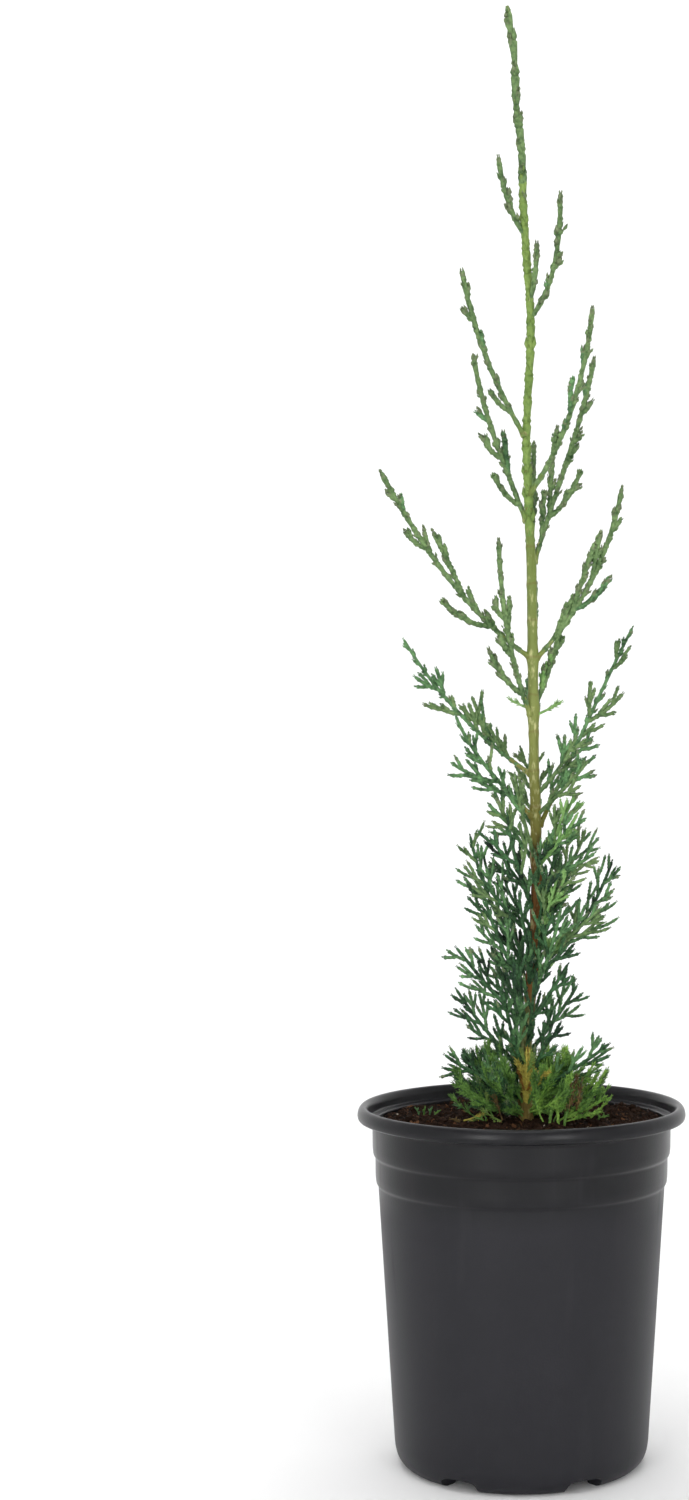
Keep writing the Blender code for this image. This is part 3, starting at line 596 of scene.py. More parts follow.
# How each kind of branch is clothed. Lengths are in millimetres and angles in degrees: the
# stem's radius at its root and tip; the distance between its limbs (none but the named ones
# where it is 0) and the longest of them; the angle that limbs open at; how fully a limb bends
# back along its stem; the share of that opening and that bend on the inner side; how far
# limbs roll out of the spray's plane; for the forks that stem and limbs bear, the distance
# between them, their least length and the share of the limb's length added to it; and the
# same for the finer twigs between the forks, with the angle that they open at and roll by.
Habit = namedtuple(
    "Habit",
    "thick thin pitch longest spread bend inner roll fork_pitch fork fork_share "
    "twig_pitch twig twig_share twig_spread twig_roll",
)
HABITS = {
    "spur": Habit(0.85, 0.6, 0, 0, 30, 0.5, 1.0, 60, 7.0, 2.6, 0.0, 3.4, 2.4, 0.0, 24, 90),
    "plume": Habit(
        0.95, 0.6, 0, 0, 42, 0.85, 0.45, 40, 6.4, 3.6, 0.07, 2.6, 3.7, 0.05, 20, 70),
    "fan": Habit(
        0.95, 0.65, 4.2, 15.0, 38, 0.55, 0.85, 28, 4.4, 2.8, 0.38, 3.3, 5.0, 0.32, 30, 24),
    "tuft": Habit(
        0.8, 0.6, 3.2, 11.0, 36, 0.6, 0.9, 55, 4.8, 1.4, 0.2, 0.95, 2.2, 0.2, 28, 60),
}

# Each branch: its name, habit, height on the trunk, azimuth (0 is +X, 90 is +Y), reach away
# from the trunk, rise from its root to its tip, the angles from upright at which it leaves
# the trunk and ends, how far the bare bough runs, how the spray's plane is turned, and its
# named limbs, each as its distance from the trunk and its length, negative on the outer side.
Branch = namedtuple(
    "Branch", "name habit height azimuth reach rise leave end bare turn limbs", defaults=((),))
BRANCHES = tuple(Branch(*row) for row in (
    ("tip_left", "spur", 427, 214, 11.1, 26.6, 42, 8, 0, -10, ((9, -3.6), (11, 2.6))),
    ("tip_right", "spur", 398, 334, 11.7, 43.1, 44, 0, 0, 10, ((12, 3), (19, -3), (31, -3))),
    ("tip_front", "spur", 404, 300, 5.0, 20, 36, 3, 0, 0),
    ("left_1", "plume", 356, 214, 26.8, 56.2, 38, 12, 6, -26,
     ((11, -11.5), (21, 4), (35, 6), (45, -6.5), (53, 5))),
    ("left_2", "plume", 324, 146, 24.1, 63.6, 24, 10, 3, 26,
     ((10, -16), (22, 17), (28.5, -12), (43, -7.5))),
    ("left_3", "plume", 279, 200, 55.4, 63.5, 58, 30, 12, -16,
     ((17, 8), (19, -22), (26, 9), (33, 26), (52, 9), (54, -11.5), (69, 6), (74, -5))),
    ("left_4", "plume", 257, 226, 17.4, 63, 32, 2, 4.5, -36,
     ((11, -22), (25, -10.5), (27, 6), (34, 12), (38, -9))),
    ("left_5", "fan", 238, 158, 50.7, 49.5, 58, 32, 7, 16,
     ((12, 8), (15, 12), (19, 14), (23, 17), (27, 11), (31, 8), (36, -13), (39, 5),
      (45, 11), (48, -11), (56, 3))),
    ("left_6", "fan", 223, 212, 32.6, 36.9, 48, 24, 5, -24,
     ((10, 5), (13, -19), (17, 8), (20, -20), (25, 6), (29, -8), (34, 6), (38, 4))),
    ("left_7", "fan", 214, 216, 20.0, 14, 62, 56, 0, -20),
    ("left_8", "fan", 168, 160, 23.3, 49.8, 36, 12, 0, 14),
    ("left_9", "fan", 182, 206, 22.4, 24.1, 52, 34, 0, -20),
    ("left_10", "fan", 152, 196, 26.3, 27.5, 56, 40, 0, -10),
    ("left_11", "fan", 134, 158, 26.7, 29.4, 46, 34, 0, 14),
    ("left_12", "fan", 125, 200, 30.2, 17.7, 58, 52, 0, -14),
    ("left_13", "fan", 190, 228, 15.0, 36, 36, 10, 0, -30),
    ("left_14", "fan", 162, 214, 19.0, 34, 42, 18, 0, -20),
    ("left_15", "fan", 208, 152, 17.0, 26, 44, 20, 0, 24),
    ("left_bud", "tuft", 261, 190, 9.6, 5, 60, 50, 0, 0),
    ("right_1", "plume", 336, 325, 26.9, 63.4, 44, 6, 6, 28,
     ((17, 10.5), (27, 4), (33, 12), (50, 6.6), (53, -4))),
    ("right_2", "plume", 309, 36, 27.8, 78.2, 18, 12, 5, -28,
     ((13.5, 17), (21, -22), (23, 20.5), (45, -6.5), (50, -6), (62, -6), (68, 5.5))),
    ("right_3", "plume", 278, 340, 32.7, 60.3, 47, 9, 7, 16,
     ((12, 13), (15, 12.5), (21, 27.5), (24, -18), (36, 17), (54, -5.6), (57, 4.7))),
    ("right_4", "plume", 261, 48, 14.5, 30, 30, 16, 0, -30, ((9, 9), (18, 7), (25, -6))),
    ("right_5", "fan", 218, 20, 36.9, 73.4, 27, 29, 7, -16,
     ((14, 8), (18, -9), (21, -13), (26, 12), (30, -11), (34, 12), (38, -7.5), (44, -17.5),
      (46, 12.6), (65, -7.6), (69, 6.6))),
    ("right_6", "fan", 224, 326, 22.0, 20, 50, 40, 0, 20),
    ("right_7", "fan", 206, 308, 23.0, 20, 52, 38, 0, 40),
    ("right_8", "fan", 166, 24, 31.6, 42.6, 52, 20, 0, -16),
    ("right_9", "fan", 174, 336, 25.9, 19.2, 62, 48, 0, 16),
    ("right_10", "fan", 190, 32, 21.0, 30, 40, 16, 0, -20),
    ("right_11", "fan", 140, 30, 21.5, 24.7, 44, 34, 0, -20),
    ("right_12", "fan", 126, 342, 30.9, 20.5, 58, 50, 0, 12),
    ("right_13", "fan", 152, 326, 17.0, 22, 44, 34, 0, 24),
    ("right_14", "fan", 200, 346, 21.4, 12.1, 58, 50, 0, 8),
    ("right_15", "fan", 231, 346, 15.0, 22, 44, 18, 0, 14),
    ("right_bud", "tuft", 259, 342, 11.0, 6, 62, 48, 0, 0),
    ("front_1", "fan", 208, 244, 17.0, 32, 36, 16, 0, 80),
    ("front_2", "fan", 160, 304, 19.0, 34, 40, 18, 0, 54),
    ("front_3", "fan", 134, 248, 20.0, 30, 42, 24, 0, -64),
    ("back_1", "fan", 214, 96, 21.0, 32, 42, 22, 0, 70),
    ("back_2", "fan", 176, 62, 22.0, 32, 44, 26, 0, -60),
    ("back_3", "fan", 146, 112, 23.0, 28, 48, 32, 0, 66),
    ("foot_1", "tuft", 122, 196, 27.0, 14, 56, 54, 0, -20),
    ("foot_2", "tuft", 122, 240, 18.0, 20, 42, 36, 0, -50),
    ("foot_3", "tuft", 122, 290, 19.0, 19, 44, 38, 0, 60),
    ("foot_4", "tuft", 122, 338, 29.0, 18, 52, 46, 0, 20),
    ("foot_5", "tuft", 122, 50, 26.0, 17, 54, 44, 0, 60),
    ("foot_6", "tuft", 122, 130, 24.0, 17, 54, 44, 0, 60),
))
STEM_SAMPLES = 28

# Finer sprays that fill the crown between the named ones. The inner ones stand round the
# trunk by the golden angle, the cover and old ones before its lower part and its foot, the
# bright ones at its right and the rear ones behind it, and the low ones ring its foot.
FILLING = []


def fill(*row):
    FILLING.append(Branch(*row))


for k in range(36):
    chance = random.Random(f"inner {k}")
    fill(f"inner_{k}", "fan", 126 + 1.9 * k, (137.5 * k + 40) % 360, chance.uniform(6, 15),
         chance.uniform(20, 32), chance.uniform(22, 34), chance.uniform(2, 14), 0,
         chance.uniform(-70, 70))
for k, (height, azimuth) in enumerate(((163, 258), (165, 292), (198, 284))):
    fill(f"cover_{k}", "fan", height, azimuth, 6.5 + k % 2, 17 + k, 26, 2, 0, 60)
for k, azimuth in enumerate((264, 248, 282, 256, 296, 272)):
    fill(f"old_{k}", "tuft", 118.6, azimuth, 4.5 + 0.5 * (k % 3), 20 + 3.0 * (k % 3), 26, 0, 0,
         70)
for k, (height, azimuth, reach, rise) in enumerate((
        (166, 318, 13, 18), (181, 300, 15, 23), (186, 308, 17, 20), (205, 320, 14, 26),
        (211, 334, 15, 22), (221, 322, 14, 21))):
    fill(f"bright_{k}", "fan", height, azimuth, reach, rise, 42, 16, 0, 42)
for k, (height, azimuth, reach, rise) in enumerate((
        (292, 94, 13, 44), (266, 87, 15, 42), (316, 84, 11, 40))):
    fill(f"rear_{k}", "plume", height, azimuth, reach, rise, 32, 9, 0, 0,
         ((10, 9), (18, -8), (27, 6)))
fill("rear_3", "fan", 240, 92, 17, 34, 38, 14, 0, 0)
for k in range(58):
    chance = random.Random(f"low {k}")
    azimuth, reach = (137.5 * k + 10) % 360, chance.uniform(7, 30)
    if not 252 < azimuth < 290 and not (308 < azimuth < 342 and reach > 13):
        fill(f"low_{k}", "tuft", chance.uniform(118.6, 122), azimuth, reach,
             chance.uniform(27, 35) - 0.5 * reach, chance.uniform(30, 44) + 1.3 * reach,
             chance.uniform(0, 12) + 0.3 * reach, 0, chance.uniform(-80, 80))

# Sprays of branches that lie in the soil, and come up beside the trunk: where they come up,
# the azimuth, reach and rise that they take from there, how they leave and end, their turn
# and their tones.
RISEN = (
    (12.0, -11.0, 352, 19, 9.0, 66, 58, 70, "meadow moss"),
    (13.0, -11.5, 12, 16, 12.0, 50, 44, 60, "meadow moss"),
    (15.0, -12.0, 338, 14, 4.5, 74, 70, 80, "meadow"),
    (11.0, -12.0, 340, 6, 13.0, 26, 14, 40, "moss meadow"),
    (7.5, -12.5, 200, 3, 9.5, 30, 4, 20, "meadow moss"),
    (18.0, -9.0, 24, 13, 17.0, 40, 26, 60, "moss sea"),
    (20.0, -6.0, 350, 11, 12.0, 46, 40, 70, "moss meadow"),
    (24.0, -4.0, 4, 8, 8.0, 50, 44, 70, "meadow moss"),
    (15.0, -4.0, 80, 5, 20.0, 20, 6, 10, "moss sea"),
    (-15.0, -6.0, 186, 11, 9.0, 60, 50, 70, "moss sea"),
    (-9.0, -9.0, 168, 7, 16.0, 34, 12, 40, "moss lime"),
    (-12.0, -7.0, 150, 8, 13.0, 40, 24, 60, "moss sea"),
    (-5.0, -10.0, 176, 4, 17.0, 20, 6, 10, "moss"),
    (-7.0, -11.0, 212, 9, 5.0, 66, 60, 80, "lime moss"),
    (-20.0, -10.0, 354, 8, 2.4, 76, 72, 84, "gold lime"),
    (14.5, -11.5, 0, 4.5, 17.0, 24, 6, 20, "straw"),
    (16.5, -12.0, 10, 3.5, 14.0, 20, 8, 20, "straw moss"),
    (18.0, -11.0, 350, 3.0, 15.5, 16, 8, 30, "straw"),
    (-6.5, -9.5, 200, 3.0, 13.0, 22, 6, 20, "straw moss"),
)
for k, (x, y, azimuth, reach, rise, leave, end, turn, _) in enumerate(RISEN):
    fill(f"risen_{k}", "tuft", 119.6, azimuth, reach, rise, leave, end, 0, turn)


def shade(red, green, blue):
    """A colour from its brightness on a screen, 0 to 255."""
    parts = (c / 255 for c in (red, green, blue))
    return tuple(c / 12.92 if c < 0.04045 else ((c + 0.055) / 1.055) ** 2.4 for c in parts)


def along(points, distance):
    """The place and direction at a distance along a run of points."""
    for start, end in zip(points, points[1:]):
        step = end - start
        if distance <= step.length or end is points[-1]:
            return start + step.normalized() * distance, step.normalized()
        distance -= step.length


def run_length(points):
    return sum((end - start).length for start, end in zip(points, points[1:]))


def stretch(points, start, end, count):
    """Evenly spaced points from one distance to another along a run."""
    return [along(points, start + (end - start) * i / count)[0] for i in range(count + 1)]


def swept(start, end, leaving, ending, t):
    """A smooth way from a start to an end, with the slope at each, at a share t of the way."""
    return (start * (1 + 2 * t) * (1 - t) ** 2 + end * (3 - 2 * t) * t**2
            + leaving * t * (1 - t) ** 2 - ending * t**2 * (1 - t))


def trunk_middle(height):
    """The trunk's middle at a height, on a smooth curve through its bends."""
    stops = [bend[0] * MM for bend in TRUNK_BENDS]
    height = min(max(height, stops[0]), stops[-1])
    i = max(k for k in range(len(stops) - 1) if stops[k] <= height)
    before, after = max(i - 1, 0), min(i + 2, len(stops) - 1)
    span = stops[i + 1] - stops[i]
    t = (height - stops[i]) / span
    place = []
    for axis in (1, 2):
        here, there = TRUNK_BENDS[i][axis] * MM, TRUNK_BENDS[i + 1][axis] * MM
        slope_in = (there - TRUNK_BENDS[before][axis] * MM) / (stops[i + 1] - stops[before])
        slope_out = (TRUNK_BENDS[after][axis] * MM - here) / (stops[after] - stops[i])
        place.append(swept(here, there, slope_in * span, slope_out * span, t))
    return Vector((*place, height))


def trunk_radius(height):
    heights = [bend[0] * MM for bend in TRUNK_BENDS]
    radii = [bend[3] * MM for bend in TRUNK_BENDS]
    flare = 0.9 * MM * math.exp(-(height - TRUNK_FOOT) / (4.0 * MM))
    return float(np.interp(height, heights, radii)) + flare


def outward(azimuth):
    return Vector((math.cos(azimuth), math.sin(azimuth), 0.0))


def stem_curve(branch):
    """A branch's middle line, from the trunk's middle to its tip."""
    out = outward(math.radians(branch.azimuth))
    root = trunk_middle(branch.height * MM)
    if branch.name.startswith("risen"):
        x, y, *_ = RISEN[int(branch.name[6:])]
        root = Vector((x * MM, y * MM, root.z))
    tip = root + out * branch.reach * MM + UP * branch.rise * MM
    chord = (tip - root).length
    leave, end = ((out * math.sin(math.radians(a)) + UP * math.cos(math.radians(a))) * chord
                  for a in (branch.leave, branch.end))
    return [swept(root, tip, leave, end, i / STEM_SAMPLES) for i in range(STEM_SAMPLES + 1)]


def off_trunk(place):
    middle = trunk_middle(place.z)
    return math.hypot(place.x - middle.x, place.y - middle.y)


class Spray:
    """One branch as it grows: its stem, and the shoots that found room."""

    def __init__(self, branch, number):
        self.branch, self.number, self.name = branch, number, branch.name
        self.habit, self.kind = HABITS[branch.habit], branch.habit
        self.upper = self.kind in ("plume", "spur")
        self.node = "foliage_" + self.name if number < len(BRANCHES) else None
        self.stem = stem_curve(branch)
        self.total = run_length(self.stem)
        azimuth = math.radians(branch.azimuth)
        thick = trunk_radius(branch.height * MM)
        self.root = next(d * MM / 4 for d in range(400)
                         if off_trunk(along(self.stem, d * MM / 4)[0]) > thick + GAP)
        self.leafy = self.root + (branch.bare * MM + GAP if branch.bare else 0.0)
        _, ahead = along(self.stem, self.total * 0.5)
        inner = ahead.cross(outward(azimuth + math.pi / 2))
        self.flat = Quaternion(ahead, math.radians(branch.turn)) @ inner
        self.shoots = []

    def radius(self, distance):
        share = (distance - self.root) / (self.total - self.root)
        return (self.habit.thick + (self.habit.thin - self.habit.thick) * share) * MM


def tube(made, path, sides, radius_at):
    """Adds a closed limb along a path. radius_at gives its radius at a distance along the
    path and an angle round it."""
    heading = (path[1] - path[0]).normalized()
    across = (Vector((1, 0, 0)) - heading * heading.x).normalized()
    distance, rings = 0.0, []
    for i, place in enumerate(path):
        if i:
            distance += (place - path[i - 1]).length
        ahead = (path[min(i + 1, len(path) - 1)] - path[max(i - 1, 0)]).normalized()
        across = heading.rotation_difference(ahead) @ across
        heading = ahead
        ring = []
        for k in range(sides):
            angle = 2 * math.pi * k / sides
            spoke = Quaternion(heading, angle) @ across
            ring.append(made.verts.new(place + spoke * radius_at(distance, angle)))
        rings.append(ring)
    skin(made, rings)
    for ring, end, sign in ((rings[0], path[0], -1), (rings[-1], path[-1], 1)):
        cap = made.verts.new(end)
        for k in range(sides):
            made.faces.new((ring[k], ring[(k + 1) % sides], cap)[::sign])


bark, bark_shader, place = start_material("cypress_bark", 0.62, Specular_IOR_Level=0.25)
fibre = grain(place, 900.0, 4.0, (1.0, 1.0, 0.16))
blotch = grain(place, 230.0, 3.0, (1.0, 1.0, 0.45))
height = place.node("ShaderNodeSeparateXYZ", {}, {0: place}, out=2)
climb = (height - 0.1176) * (1 / 0.39) + (blotch - 0.5) * 0.09
wood = place.node("ShaderNodeValToRGB", {"stops": [(at, shade(*colour)) for at, *colour in (
    (0.0, 96, 80, 40), (0.03, 128, 112, 52), (0.065, 98, 108, 62), (0.1, 92, 94, 54),
    (0.125, 108, 72, 34), (0.19, 112, 74, 34), (0.215, 106, 72, 34), (0.245, 96, 82, 38),
    (0.264, 114, 110, 48), (0.36, 122, 132, 68), (0.5, 108, 124, 60), (0.56, 98, 120, 58),
    (0.66, 94, 120, 58), (0.8, 94, 122, 62), (1.0, 84, 114, 62),
)]}, {"Fac": climb})
furrow = above(fibre, 0.5, 3.4)
woody = climb.node("ShaderNodeMapRange", {}, {0: climb, 1: 0.275, 2: 0.2, 3: 0.0, 4: 1.0})
groove = place.blend(woody, shade(92, 98, 40), shade(56, 36, 22))
dry = place.blend(furrow * (0.6 + woody * 0.35), wood, groove)
flecks = grain(place, 620.0, 3.0, (1.0, 1.0, 0.4))
pale = above(flecks, 0.56, 6.0)
dry = place.blend(pale * (0.68 - woody * 0.3), dry, shade(206, 204, 146))
step = height.sum("FRACT", height * (1 / 0.013), 0.0)
step = step.sum("ABSOLUTE", step + (blotch - 0.5) * 0.2 - 0.5, 0.0)
ring = step.sum("MULTIPLY", 0.06 - step, 18.0, held=True)
dry = place.blend(ring * (0.38 - woody * 0.2), dry, shade(104, 84, 42))
coat(bark_shader, Base_Color=dry, Roughness=0.5 + woody * 0.3,
     Normal=bumped(fibre * (0.35 + woody * 0.65) + blotch * 0.3, 0.0005, 0.8))

sprays = [Spray(branch, number) for number, branch in enumerate([*BRANCHES, *FILLING])]
NODE_STEP = 13.0 * MM  # between the rings where older scale leaves sat
WOOD_TOP, WOOD_FADE = 228, 30  # the bark is smooth above, and furrowed this far below
ROOTED = 1.2 * MM  # how far a foot or a root runs into what carries it
TRUNK_STEP = 0.7 * MM
TRUNK_STOUTNESS = ((246, 275, 300, 318, 330, 345), (1.0, 1.16, 1.3, 1.3, 1.0, 0.85))


def trunk_relief(distance, angle):
    """The trunk's surface: furrows low down, soft ridges and ringed nodes above, and a
    collar under each branch."""
    height = TRUNK_FOOT - ROOTED + distance
    level = height / MM
    wood = min(1.0, max(0.0, (WOOD_TOP - level) / WOOD_FADE))
    turn = angle + 0.012 * level
    ridge = noise.noise(Vector((math.cos(turn) * 2.4, math.sin(turn) * 2.4, level / 9)))
    crack = abs(noise.noise(Vector((math.cos(turn) * 5, math.sin(turn) * 5, level / 3.2))))
    relief = wood * (0.2 * ridge + 0.16 * crack) + (1 - wood) * 0.06 * math.cos(4 * turn)
    relief += 0.07 * noise.noise(Vector((math.cos(angle) * 2, math.sin(angle) * 2, level / 2.2)))
    ring = (height % NODE_STEP) / NODE_STEP
    relief += 0.16 * (1 - wood) * math.exp(-(((ring - 0.5) * 13 + 0.3 * math.cos(2 * angle)) ** 2))
    for spray in sprays[:len(BRANCHES)]:
        rise = level - spray.branch.height - 1.5
        if abs(rise) < 9:
            side = math.cos(angle - math.radians(spray.branch.azimuth))
            relief += 0.42 * math.exp(-((rise / 3.2) ** 2)) * max(0.0, side) ** 2
    stout = float(np.interp(level, *TRUNK_STOUTNESS))
    return trunk_radius(height) * stout + relief * MM


wood_maker = bmesh.new()
levels = int((TRUNK_TOP - 0.8 * MM - TRUNK_FOOT) / TRUNK_STEP)
trunk_line = [trunk_middle(TRUNK_FOOT) - UP * ROOTED]
trunk_line += [trunk_middle(TRUNK_FOOT + TRUNK_STEP * k) for k in range(levels + 1)]
tube(wood_maker, trunk_line, 30, trunk_relief)
for spray in sprays:
    if not spray.branch.bare:
        continue
    start, end = spray.root - ROOTED, spray.leafy + ROOTED
    count = int((end - start) / (0.4 * MM))

    def bough_relief(distance, angle):
        swell = 0.55 * math.exp(-((max(0.0, distance / MM - 0.8) / 1.3)))
        rough = noise.noise(Vector((math.cos(angle) * 2, math.sin(angle) * 2,
                                    distance / MM / 1.6 + spray.number * 9)))
        return 0.82 * spray.radius(start + distance) + (swell + 0.12 * rough) * MM

    tube(wood_maker, stretch(spray.stem, start, end, count), 18, bough_relief)
trunk = piece_from("trunk_and_boughs", wood_maker, bark)
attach(trunk, "root")
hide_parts("trunk", *(f"bough_{s.branch.name}" for s in sprays if s.branch.bare))

# ---- The foliage --------------------------------------------------------------------------
# Every branch carries a spray of cord-like shoots. Its stem sets limbs, the limbs set forks
# and the forks set the finest twigs, by one seeded rule, and a shoot is left out where it
# would crowd another branch. Four rows of small pressed scale leaves clothe them all.

SHORTEST_SHOOT, SHORTEST_TWIG = 1.7 * MM, 1.1 * MM
LONGEST_SHOOT = 16.0 * MM
LEAF_ROOM = 1.9  # from a shoot's middle to what lies under its leaves
CROWN_FLOOR = (SOIL_LEVEL + LEAF_ROOM) * MM


class Thicket:
    """The place of every limb so far, so that a new shoot is grown only where it is clear."""

    def __init__(self, room):
        self.starts, self.spans = np.zeros((room, 3)), np.zeros((room, 3))
        self.radii, self.owners = np.zeros(room), np.zeros(room, int)
        self.count = 0

    def add(self, path, radius, owner):
        for start, end in zip(path, path[1:]):
            self.starts[self.count], self.spans[self.count] = start, end - start
            self.radii[self.count], self.owners[self.count] = radius, owner
            self.count += 1

    def clear(self, path, radius, owner):
        """True if the whole path keeps the gap from every limb of another owner."""
        others = np.flatnonzero(self.owners[:self.count] != owner)
        starts, spans = self.starts[others], self.spans[others]
        room = self.radii[others] + radius + GAP
        near = np.linalg.norm(starts - np.array(path[0]), axis=1)
        near = near < np.linalg.norm(spans, axis=1) + room + run_length(path)
        starts, spans, room = starts[near], spans[near], room[near]
        for start, end in zip(path, path[1:]):
            if len(room) == 0:
                return True
            if (nearest(np.array(start), np.array(end - start), starts, spans) < room).any():
                return False
        return True


def nearest(start, span, starts, spans):
    """The least distance from one straight stretch to each of many."""
    a = span @ span
    e = np.einsum("ij,ij->i", spans, spans)
    f = np.einsum("ij,ij->i", spans, start - starts)
    b = spans @ span
    c = (start - starts) @ span
    denominator = np.maximum(a * e - b * b, 1e-18)
    s = np.clip((b * f - c * e) / denominator, 0, 1)
    t = np.clip((b * s + f) / e, 0, 1)
    s = np.clip((b * t - c) / a, 0, 1)
    apart = (start + np.outer(s, span)) - (starts + spans * t[:, None])
    return np.sqrt(np.einsum("ij,ij->i", apart, apart))


class Shoot:
    """A stem, limb, fork or twig: the path it keeps clear, the bend it is drawn by, its
    thickness, its tone and what it bears."""

    def __init__(self, path, bend, thick, tone, limb=False):
        self.path, self.bend, self.thick, self.tone = path, bend, thick, tone
        self.limb, self.borne = limb, []
        self.length = run_length(path)


def fullness(share, least):
    """How long the shoots are beside the longest, from a stem's start to its tip."""
    return (0.5 + 0.5 * min(1.0, share * 3.5)) * min(1.0, least + (1.0 - share) * 1.5)


def shoot_path(parent, distance, length, habit, flat, chance):
    """A shoot that opens away from its parent and bends back along it and upwards. A
    negative length puts it on the outer side. Gives its path and its three-point bend."""
    place, ahead = along(parent, distance)
    side = math.copysign(1, length)
    length = abs(length)
    across = (flat - ahead * flat.dot(ahead)).normalized() * side
    ease = habit.inner if side > 0 else 1.0
    angle = math.radians(habit.spread * ease * chance.uniform(0.88, 1.12))
    first = ahead * math.cos(angle) + across * math.sin(angle)
    homeward = (ahead * 0.75 + UP * 0.25).normalized()
    second = first.lerp(homeward, habit.bend * ease).normalized()
    elbow = place + first * length * 0.42
    tip = elbow + second * length * 0.58
    count = 3 if length > LONGEST_SHOOT else 2
    bend = (place, elbow, tip)
    return [bent(bend, i / count) for i in range(count + 1)], bend


def shoots_on(parent, start, pitch, longest, habit, flat, seed, least=0.24):
    """The shoots that a stem or limb bears by the rule, alternately on its two sides."""
    total = run_length(parent)
    chance = random.Random(seed)
    side = chance.choice((-1, 1))
    for k in range(int((total - start - SHORTEST_SHOOT) / pitch)):
        distance = start + pitch * (k + 0.5 + chance.uniform(-0.22, 0.22))
        share = (distance - start) / (total - start)
        length = longest * fullness(share, least) * chance.uniform(0.75, 1.12)
        _, ahead = along(parent, distance)
        plane = Quaternion(ahead, math.radians(habit.roll) * chance.uniform(-1, 1)) @ flat
        path, bend = shoot_path(parent, distance, side * length, habit, plane, chance)
        yield distance, side, path, bend
        side = -side


def in_bounds(path):
    """True if a path stays over the soil and within the rim's footprint."""
    lowest = min(p.z for p in path)
    furthest = max(math.hypot(p.x, p.y) for p in path)
    limit = (BODY_RADII[1] - WALL - 2.5) * MM
    if lowest > (POT_HEIGHT + LEAF_ROOM) * MM:
        limit = RIM_RADIUS * MM
    return lowest > CROWN_FLOOR and furthest < limit


BARE_FRONT = (219, 262)  # the heights between which the trunk's front stays in sight
BARE_WIDTH = 2.9 * MM  # to each side of its middle


def before_trunk(path):
    """True if a path passes in front of the part of the trunk that stays in sight."""
    for start, end in zip(path, path[1:]):
        for share in (0.0, 0.33, 0.67, 1.0):
            place = start.lerp(end, share)
            middle = trunk_middle(place.z)
            if BARE_FRONT[0] < place.z / MM < BARE_FRONT[1] and place.y < middle.y:
                if abs(place.x - middle.x) < BARE_WIDTH:
                    return True
    return False


# The tones that a spray's limbs take by chance, by the height that it leaves the trunk at.
# The sprays that stand out from their neighbours are named below.
TONES_BY_HEIGHT = (
    (262, "green sea green"), (228, "sea green sea"), (195, "sea deep sea"),
    (0, "deep sea deep"),
)
TONES = {
    "left_4": "green", "left_12": "deep sea", "left_bud": "pale",
    "right_4": "green fresh", "right_6": "green sea", "right_7": "fresh green sea",
    "right_9": "green fresh sea", "right_10": "green sea", "right_15": "green sea",
    "right_bud": "fresh green", "front_1": "green sea", "front_2": "sea deep sea",
    "foot_1": "sea moss deep", "foot_2": "moss sea", "foot_3": "moss gold",
    "foot_4": "moss meadow sea", "foot_5": "moss sea", "foot_6": "moss sea",
}


def tones_of(branch):
    """The tones of a branch, the first of them its stem's."""
    kind, _, number = branch.name.partition("_")
    right = math.cos(math.radians(branch.azimuth)) > 0.1
    tones = next(tones for low, tones in TONES_BY_HEIGHT if branch.height >= low)
    tones = {
        # Low tufts on the left take darker tones than those on the right: partly their own colour,
        # and partly painted shade on the left side.
        "low": "meadow moss meadow moss" if right else "moss sea moss deep",
        "old": "gold rust lime gold", "bright": "fresh fresh green",
        # Inner sprays take the darker shadow tone in place of sea: painted shade for their place
        # inside the crown.
        "inner": tones.replace("sea", "shadow"),
    }.get(kind, tones)
    if kind == "risen":
        tones = RISEN[int(number)][-1]
    return TONES.get(branch.name, tones).split()


def limbs_of(spray):
    """A stem's limbs: the named ones, or those that the rule gives."""
    branch, habit = spray.branch, spray.habit
    chance = random.Random(branch.name)
    for distance, length in branch.limbs:
        if distance * MM > spray.leafy:
            roll = math.radians(habit.roll) * chance.uniform(-0.5, 0.5)
            _, ahead = along(spray.stem, distance * MM)
            plane = Quaternion(ahead, roll) @ spray.flat
            path, bend = shoot_path(
                spray.stem, distance * MM, length * MM, habit, plane, chance)
            yield spray.axis, distance * MM, math.copysign(1, length), path, bend
    if habit.pitch and not branch.limbs:
        longest = habit.longest * MM * min(1.0, spray.total / (40 * MM))
        start = spray.leafy + 0.5 * habit.pitch * MM
        for found in shoots_on(spray.stem, start, habit.pitch * MM, longest, habit,
                               spray.flat, branch.name):
            yield spray.axis, *found


def forks_of(spray):
    """The short forks along each limb, and along a stem that has only named limbs."""
    habit = spray.habit
    axes = [(shoot, 0.2 * shoot.length) for shoot in spray.shoots]
    if spray.branch.limbs or not habit.pitch:
        axes.append((spray.axis, spray.leafy + 2.5 * MM))
    for number, (axis, start) in enumerate(axes):
        longest = habit.fork * MM
        if axis is not spray.axis:
            longest += habit.fork_share * axis.length
        for found in shoots_on(axis.path, start, habit.fork_pitch * MM, longest, habit,
                               spray.flat, f"{spray.name} {number}"):
            yield axis, *found


THINNED = ("front_1", "right_7")  # sprays through which the trunk shows
EASED = ("low", "old", "bright", "cover", "risen")  # sprays that may touch their neighbours


